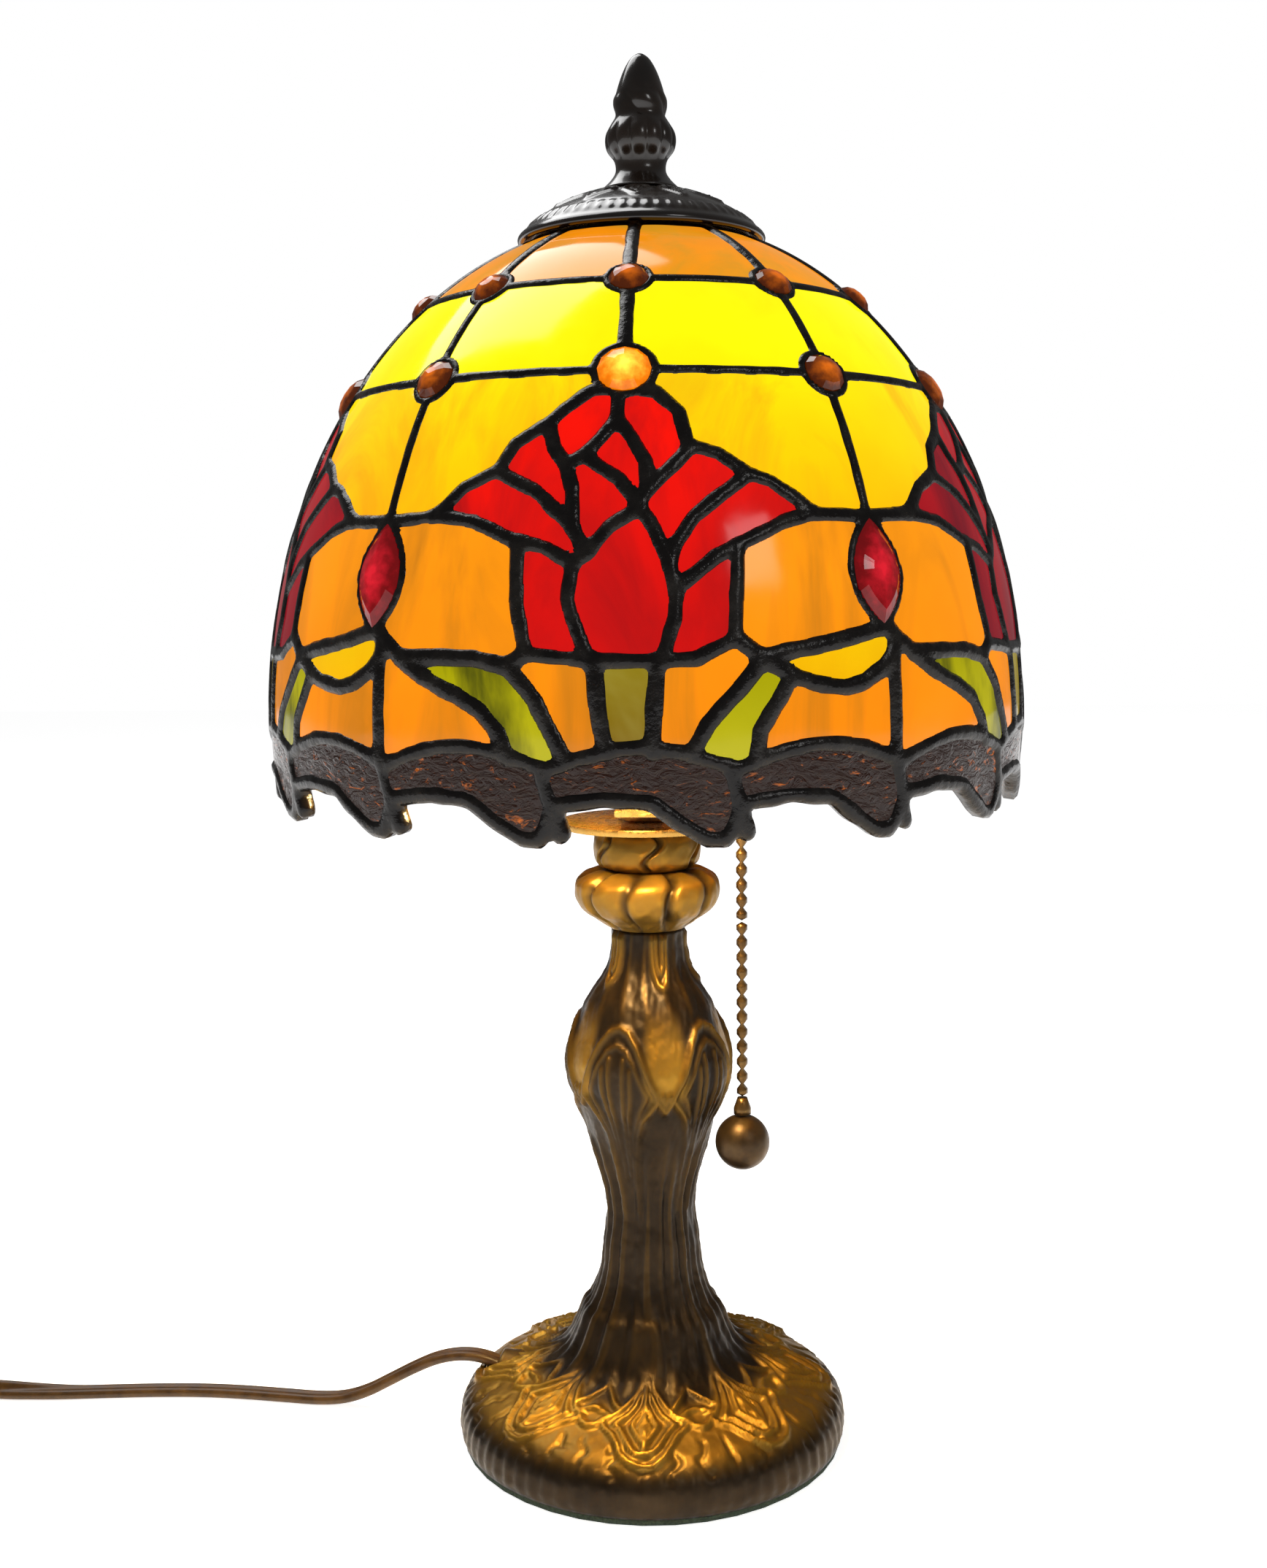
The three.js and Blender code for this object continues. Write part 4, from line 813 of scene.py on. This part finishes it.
# ---- Cast and spun pieces
def relief_turning(name, outside, inside, relief, step, columns, hole=None):
    """A turned piece whose outer profile carries a relief. relief(azimuth, radius, height) gives the
    rise in mm and the share of gold, which is gold rub and partly painted bulb light. inside is the rest of
    the closed profile, from top to foot. The faces whose middles hole() picks are left out."""
    profile = spline(outside, step)
    along = np.r_[0, np.cumsum(np.linalg.norm(np.diff(profile, axis=0), axis=1))]
    slope = np.gradient(profile, axis=0)
    slope /= np.linalg.norm(slope, axis=1)[:, None]
    normal = np.column_stack([slope[:, 1], -slope[:, 0]])
    azimuth = np.arange(columns) * 360 / columns - 180
    a, s = np.meshgrid(azimuth, along)
    radius, height = (np.repeat(profile[:, i:i + 1], columns, 1) for i in (0, 1))
    rise, gilt_and_painted_light = relief(a, radius, height)
    fade = np.minimum(1, np.minimum(s, along[-1] - s) / 1.5)
    rise = rise * fade
    radius = radius + rise * normal[:, :1]
    height = height + rise * normal[:, 1:]
    rings = [placed(radius, a, height)]
    gilding_and_painted_light = [gilt_and_painted_light]
    for r, z in inside:
        rings.append(placed(np.full((1, columns), r), azimuth[None, :], np.full((1, columns), z)))
        gilding_and_painted_light.append(np.zeros((1, columns)))
    verts = np.concatenate(rings).reshape(-1, 3)
    count = len(verts) // columns
    faces = grid_faces(count, columns, closed_rows=True)
    if hole:
        faces = faces[~hole(verts[faces].mean(1))]
    piece = new_object(name, verts, faces)
    store(piece, "rub_and_painted_light", np.clip(np.concatenate(gilding_and_painted_light).ravel(), 0, 1))
    return piece


def folded(azimuth, count, first=0.0):
    """Azimuth measured from the nearest of count evenly spaced places."""
    span = 360 / count
    return (azimuth - first + span / 2) % span - span / 2


def mirrored(lines):
    return list(lines) + [[(-x, y) for x, y in line] for line in lines]


foot_motif = mirrored([
    [(0, 50.4), (3.2, 49.9), (5.6, 48.0), (7.2, 45.0), (8.6, 41.8), (11.2, 39.6), (11.6, 37.4), (9, 36.2),
     (6.6, 34.2), (4.4, 31.2), (2.6, 28.2), (1.2, 25.5)],
    [(0, 47.6), (2.2, 47.1), (4, 45.2), (5.2, 42.6), (6.4, 40), (8.2, 38.4), (6.6, 37.2), (4.4, 35),
     (2.6, 32), (1.2, 29)],
    [(0, 45.4), (1.7, 42), (3.4, 38.6), (1.8, 35.4), (0, 31.5)], [(0, 42.4), (1.5, 39), (0, 35)],
    [(11.6, 37.4), (13.2, 39.2), (15.9, 40.4)], [(9, 36.2), (11.6, 34.6), (14.2, 33.6)],
    [(6.6, 34.2), (8.8, 31.2), (10.4, 27.5)],
]) + [[(0, 27), (0, 46.5)]]
leaf_outline = mirrored([
    [(0, 122), (8, 120.8), (15, 117), (20.5, 112), (25, 107.5), (29, 104.2), (32.5, 101), (36, 99)],
    [(30.5, 102.6), (25.5, 99.8), (19, 96.5), (14.5, 91), (12, 84), (10.5, 76), (9.5, 68)],
])
leaf_inner = mirrored([[(0, 117.5), (7, 116), (13, 112.5), (18, 107.5), (22.5, 103.6), (17.5, 99.5),
                        (11, 92), (8.5, 84), (7, 76)]])
leaf_lip = mirrored([[(33.5, 103.8), (36, 101.6)]])
leaf_veins = mirrored([[(5.5, 114), (5, 104), (3.5, 92), (3, 78)],
                       [(10.5, 111), (10.5, 104), (7.5, 95), (5.5, 85)]])
neck_drop = mirrored([[(0, 131.5), (5, 132.4), (9, 135.5), (10.5, 140), (10.8, 145)],
                      [(0, 135.2), (4.5, 137), (5.6, 145)]])
deg = math.pi / 180


def ridge(distance, width):
    return np.exp(-(distance / width) ** 2)


def casting_relief(azimuth, radius, height):
    place = placed(radius, azimuth, height)
    rough = Waves(21, 5.0)(place)
    fine = Waves(22, 1.9)(place)
    on_foot = 1 - smoothstep(21, 26, height)
    # foot
    x = folded(azimuth, 8) * deg * radius
    lines = distance_to(foot_motif, x, radius + 0.15 * rough, 1.0, 1.0)
    motif = ridge(lines, 0.72) * on_foot * (1 - smoothstep(50.5, 51.8, radius))
    facet = folded(azimuth + 1.2 * rough, 38) * deg * radius
    crease = ridge(np.abs(facet), 0.7) * between(44, 53.5, radius, 1.2) * on_foot * (1 - motif)
    scallops = 0.18 * np.cos(azimuth * deg * 76) * between(51.5, 56, radius, 0.6)
    # column
    on_column = between(21, 88, height, 5)
    turned = np.stack([5 * np.cos(azimuth * deg), 5 * np.sin(azimuth * deg), height * 0.012], -1)
    grooves = Waves(23, 1.0)(turned)
    broad = Waves(24, 26.0)(place)
    flute = np.cos(azimuth * deg * 22 + 0.9 * broad) * 0.24 + 0.26 * grooves
    # belly
    leaf = folded(azimuth, 5, -21)
    around = radius * deg
    outline = ridge(distance_to(leaf_outline, leaf, height, around, 1.0), 0.95)
    within = ridge(distance_to(leaf_inner, leaf, height, around, 1.0), 0.7)
    veins = ridge(distance_to(leaf_veins, leaf, height, around, 1.0), 0.7)
    lip = ridge(distance_to(leaf_lip, leaf, height, around, 1.0), 0.95)
    on_belly = between(66, 123, height, 3)
    lower = 0.35 + 0.65 * smoothstep(90, 100, height)
    leaf_lines = np.maximum(np.maximum(outline, lip), 0.5 * np.maximum(within, veins)) * on_belly * lower
    bulge = 1.0 * smoothstep(27, 14, np.abs(leaf)) * between(99, 120, height, 5)
    panel = between(84, 122, height, 6) * smoothstep(17, 28, np.abs(leaf)) * (1 - leaf_lines)
    # neck
    on_neck = smoothstep(121, 126, height)
    drop = ridge(distance_to(neck_drop, folded(azimuth, 5, 20), height, around, 1.0), 0.8) * on_neck
    neck = np.cos(azimuth * deg * 16 + 0.6 * broad) * 0.16 * on_neck
    rise = (1.3 * motif - 0.8 * crease + scallops + flute * on_column + 1.25 * leaf_lines + bulge * 0.6
            + 0.9 * drop + neck + 0.05 * rough + 0.04 * fine - 0.9 * between(60, 123, height, 6))
    worn = 0.75 + 0.25 * smoothstep(-1, 1, broad)
    # Gold share: gold rub on the raised motif, leaves and drops, plus painted bulb light from the shade above
    # on the upper belly panels, the upper leaves and the foot's top slope.
    gilt_and_painted_light = (0.35 * motif + 0.25 * leaf_lines * lower + 0.3 * drop + 0.6 * panel * smoothstep(98, 108, height)
            + 0.05 * smoothstep(0.1, 0.45, flute) * on_column
            + 0.12 * smoothstep(0.05, 0.3, neck) + 0.5 * between(33, 51, radius, 3) * on_foot)
    return rise, gilt_and_painted_light * worn


hole_centre, hole_slope = np.array(cord_exit), math.radians(20)
hole_width, hole_height = 3.9, 2.6  # half sizes


def hole_axes():
    """The hole's directions: out of the casting, across, and up."""
    flat = np.array((hole_centre[0], hole_centre[1], 0)) / math.hypot(hole_centre[0], hole_centre[1])
    along = flat * math.cos(hole_slope) + np.array((0, 0, math.sin(hole_slope)))
    across = np.array((-flat[1], flat[0], 0))
    return along, across, np.cross(across, along)


def in_cord_hole(middles):
    along, across, up = hole_axes()
    away = middles - hole_centre
    forward = away @ along
    margin = np.where(forward < 1.5, 0.75, 0.1)
    oval = np.hypot(away @ across / (hole_width + margin), away @ up / (hole_height + margin))
    return (oval < 1) & (forward > -8) & (forward < 9)


def make_cord_lip():
    """The hooded oval lip around the hole where the cord leaves the casting."""
    along, across, up = hole_axes()
    turn = np.radians(np.arange(0, 360, 6))
    section = [(0, -6.5), (0, -2), (0, 0.8), (0.3, 1.4), (0.9, 1.7), (1.5, 1.3), (1.75, 0.5), (2.1, -1),
               (2.9, -3), (2.9, -6.5)]
    verts = []
    for t in turn:
        way = across * math.cos(t) + up * math.sin(t)
        rim = across * hole_width * math.cos(t) + up * hole_height * math.sin(t)
        verts += [hole_centre + rim + way * out + along * forward for out, forward in section]
    lip = new_object("cord_lip", verts, grid_faces(len(turn), len(section), closed_rows=True))
    store(lip, "rub_and_painted_light", [0.2] * len(verts))
    settle(lip, "base", [], looks["bronze"])


def make_casting():
    outside = [(54.08, 1.8), (54.7, 5), (54.08, 9.5), (52.0, 12.7), (48.08, 15.5), (41.87, 17.9),
               (34.0, 20.5), (28.0, 23.5), (24.06, 27), (21.58, 31.5), (19.39, 36.8), (17.11, 39.9),
               (15.0, 45), (13.71, 51), (13.3, 58), (13.3, 71), (17.8, 87.56), (21.3, 98.36), (23.3, 107),
               (22.38, 114.2), (18.15, 124.8), (11.8, 134.4), (10.1, 141.3), (10.1, 146.3)]
    inside = [(5.3, 146.3), (5.3, 24), (17.44, 24), (25.7, 21.2), (34, 17.2), (42.3, 14.5), (48.1, 12),
              (50.5, 8.5), (50.5, 1.8)]
    casting = relief_turning("cast_base", outside, inside, casting_relief, 0.8, 400, in_cord_hole)
    settle(casting, "base", ["base_casting"], looks["bronze"])


def petal_relief(azimuth, radius, height):
    low, high = 146.6, 162.8
    share = (height - low) / (high - low)
    lean = azimuth + 10 * np.sin(share * 3)
    crease = np.abs(folded(lean, 5, 30)) * deg * radius
    second = np.abs(folded(lean, 5, -6)) * deg * radius * (1.4 - share)
    rise = -2.0 * ridge(crease, 1.3) - 1.0 * ridge(second, 0.9) + 0.3
    rough = Waves(31, 4.0)(placed(radius, azimuth, height))
    # Gold share: gold rub, partly painted bulb light on this collar just under the shade, less in the
    # creases.
    gilt_and_painted_light = 0.4 - 0.38 * ridge(crease, 1.4) - 0.35 * ridge(second, 1.1) + 0.08 * smoothstep(0, 1.5, rough)
    return rise * smoothstep(10, 14, radius) + 0.08 * rough, gilt_and_painted_light


def panel_relief(azimuth, radius, height):
    crease = np.abs(folded(azimuth + 9 * np.sin((height - 163) * 0.55), 6, 8)) * deg * radius
    rise = -1.1 * ridge(crease, 0.8) + 0.35 * ridge(crease - 1.5, 0.6)
    rough = Waves(32, 4.0)(placed(radius, azimuth, height))
    # Gold share: gold rub, partly painted bulb light on this collar just under the shade, less in the
    # creases.
    gilt_and_painted_light = 0.36 - 0.35 * ridge(crease, 1.0) + 0.08 * smoothstep(0, 1.5, rough)
    return rise + 0.06 * rough, gilt_and_painted_light


def make_collars():
    petals = relief_turning(
        "petals", [(10.7, 146.6), (13.5, 149), (17.6, 151.9), (19.6, 155), (20.0, 157.9), (18.9, 160.5),
                   (15.1, 162.5), (11.6, 162.8)],
        [(5.6, 162.8), (5.6, 146.6)], petal_relief, 0.55, 200)
    settle(petals, "base", ["petal_collar"], looks["bronze"])
    panels = relief_turning(
        "panels", [(11.5, 163.1), (14.2, 165.1), (14.9, 168.5), (14.5, 171.7), (12.8, 173.5), (12.2, 174.4)],
        [(5.6, 174.4), (5.6, 163.1)], panel_relief, 0.45, 180)
    settle(panels, "base", ["upper_collar"], looks["bronze"])


def plain(azimuth, radius, height):
    return np.zeros(azimuth.shape), np.zeros(azimuth.shape)


def cap_relief(azimuth, radius, height):
    leaf = folded(azimuth, 12) * deg * radius
    leaves = mirrored([[(0, 13.5), (2.6, 16), (3.4, 19.5), (0, 25)], [(0, 15.5), (1.2, 19), (0, 22)]])
    lines = distance_to(leaves, leaf, radius, 1.0, 1.0)
    rib = ridge(folded(azimuth, 60) * deg * radius, 0.7) * between(27.5, 30.5, radius, 0.5)
    return 0.55 * ridge(lines, 0.7) * between(13, 25, radius, 0.8) + 0.3 * rib, np.zeros(azimuth.shape)


def make_cap():
    low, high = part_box("vented_cap")
    z, top, r = low.z / MM, high.z / MM, high.x / MM
    cap = relief_turning(
        "spun_cap",
        [(r - 1.8, z), (r - 0.4, z + 0.1), (r, z + 1), (r - 0.5, z + 2), (r - 2, z + 3.2), (r - 4, z + 5),
         (r - 8.3, z + 7.9), (r - 15.1, z + 10.9), (11.5, top - 0.4), (4.2, top)],
        [(4.2, top - 1), (11.3, top - 1.4), (r - 15.5, z + 9.9), (r - 8.9, z + 6.9), (r - 4.8, z + 4.2),
         (r - 2.9, z + 2.4)], cap_relief, 0.6, 300)
    settle(cap, "shade", ["vented_cap"], looks["enamel"])
    # Dark discs laid on the cap at its vents: painted shade standing in for the open vent holes.
    for k in range(8):
        a = 22.5 + 45 * k
        turn = np.radians(np.arange(0, 360, 30))
        centre = placed(np.array(r - 15.0), np.array(a), np.array(z + 10.95))
        verts = [centre + (1.9 * math.cos(t), 1.9 * math.sin(t), 0.25 * math.cos(t - math.radians(a)))
                 for t in turn]
        verts += [v + (0, 0, -0.5) for v in verts]
        faces = [tuple(range(12)), tuple(range(23, 11, -1))] + [(i, i + 12, (i + 1) % 12 + 12, (i + 1) % 12)
                                                               for i in range(12)]
        vent_shadow = new_object(f"vent_shadow_{k + 1}", verts, faces, smooth=False)
        settle(vent_shadow, "shade", [], looks["phenolic"])


def finial_relief(azimuth, radius, height):
    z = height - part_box("finial")[0].z / MM
    on_ribs, on_flame = between(9, 16.5, z, 1.5), between(19, 24.5, z, 1.2)
    ribs = np.abs(np.cos(azimuth * deg * 6)) ** 0.7 * on_ribs
    lobes = np.abs(np.cos((azimuth + 7 * z) * deg * 2)) * on_flame
    return 0.75 * ribs - 0.35 * on_ribs + 0.9 * lobes - 0.4 * on_flame, np.zeros(azimuth.shape)


def make_finial():
    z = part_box("finial")[0].z / MM
    outline = [(10.6, 0.4), (8, 3), (6.7, 5.4), (7.1, 8.4), (8.7, 11.2), (9, 14), (8, 17), (6.6, 19.6),
               (6.8, 22.4), (6.2, 26), (4.6, 30.6), (2.8, 33.8), (1.2, 35.2), (0.2, 35.6)]
    core = [(0.1, 35.0), (0.1, 14), (3.3, 13.8), (3.3, 0), (10.2, 0)]
    finial = relief_turning("flame_finial", [(r, z + h) for r, h in outline], [(r, z + h) for r, h in core],
                            finial_relief, 0.4, 144)
    settle(finial, "finial", ["finial"], looks["enamel"])


def make_ball():
    low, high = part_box("pull_ball")
    centre, r = (low + high) / 2 / MM, (high.x - low.x) / 2 / MM
    turn = np.radians(np.arange(-88, 89, 4))
    outline = [(0.97 * r * math.cos(t), centre.z + 0.99 * r * math.sin(t)) for t in turn]
    core = [(0.1, centre.z + 0.9 * r), (0.1, centre.z - 0.9 * r)]
    ball = relief_turning("ball", outline, core, plain, 0.5, 72)
    ball.data.transform(Matrix.Translation(Vector((centre.x, centre.y, 0)) * MM))
    settle(ball, "chain_end", ["pull_ball"], looks["dark_ball"])


make_casting()
make_cord_lip()
make_collars()
make_cap()
make_finial()
make_ball()


# ---- The pieces that keep their working shape
for node_names, look, slot in (
        (("felt_pad",), "felt", "felt"),
        (("base_cover", "threaded_rod", "bottom_nut", "top_nut", "finial_insert", "center_contact"),
         "zinc_steel", "zinc"),
        (("socket_plate", "harp_saddle", "harp", "socket_cap", "socket_shell", "screw_shell", "chain_guide",
          "bulb_base", "switch_lever", "shade_spider"), "brass", "brass"),
        (("socket_liner",), "card", "card"),
        (("switch_block",), "phenolic", "phenolic"),
        (("bulb_glass",), "bulb", "bulb_glass"),
        (("inner_chain", "chain_top_link", "pull_chain_upper", "pull_chain_lower", "chain_coupling"),
         "chain_bronze", "chain_bronze")):
    for node_name in node_names:
        round_already = "chain" in node_name or node_name in ("bulb_glass", "harp")
        refine(node_name, look, angle=50 if "chain" in node_name else 35,
               bevel=0 if round_already else 0.12)


# ---- Floor and light
def make_stage():
    half, z = 3000, -0.05
    floor = new_object("floor", [(-half, -half, z), (half, -half, z), (half, half, z), (-half, half, z)],
                       [(0, 1, 2, 3)])
    look = Look("floor_paper", roughness=0.9)
    look.set("Base Color", look.mix(look.noise(4), (0.93, 0.93, 0.93), (0.95, 0.95, 0.95)))
    floor.data.materials.append(look.material)
    look.set("Emission Color", (1.0, 1.0, 1.0))
    look.set("Emission Strength", 0.86)
    world = bpy.data.worlds.new("studio")
    world.use_nodes = True
    tree = world.node_tree
    seen = tree.nodes.new("ShaderNodeLightPath")
    share = tree.nodes.new("ShaderNodeMapRange")
    share.inputs["To Min"].default_value, share.inputs["To Max"].default_value = 0.13, 1.0
    tree.links.new(seen.outputs["Is Camera Ray"], share.inputs["Value"])
    tree.links.new(share.outputs[0], tree.nodes["Background"].inputs["Strength"])
    tree.nodes["Background"].inputs["Color"].default_value = (1, 1, 1, 1)
    bpy.context.scene.world = world
    for name, place, size, watts in (("overhead", (-0.5, 0.5, 1.4), 0.9, 10),
                                     ("front", (0.75, -1.0, 0.9), 0.3, 1.6)):
        data = bpy.data.lights.new(name, "AREA")
        data.energy, data.size = watts, size
        light = bpy.data.objects.new(name, data)
        light.location = place
        light.rotation_euler = (Vector((0, 0, 0.12)) - Vector(place)).to_track_quat("-Z", "Y").to_euler()
        bpy.context.scene.collection.objects.link(light)
    data = bpy.data.lights.new("bulb_glow", "POINT")
    data.energy, data.color, data.shadow_soft_size = 1.5, (1.0, 0.7, 0.3), 0.016
    light = bpy.data.objects.new("bulb_glow", data)
    light.location = (-0.006, -0.062, 0.214)  # under the front of the shade, beside the bulb
    bpy.context.scene.collection.objects.link(light)


make_stage()
bpy.context.scene.view_settings.view_transform = "Standard"
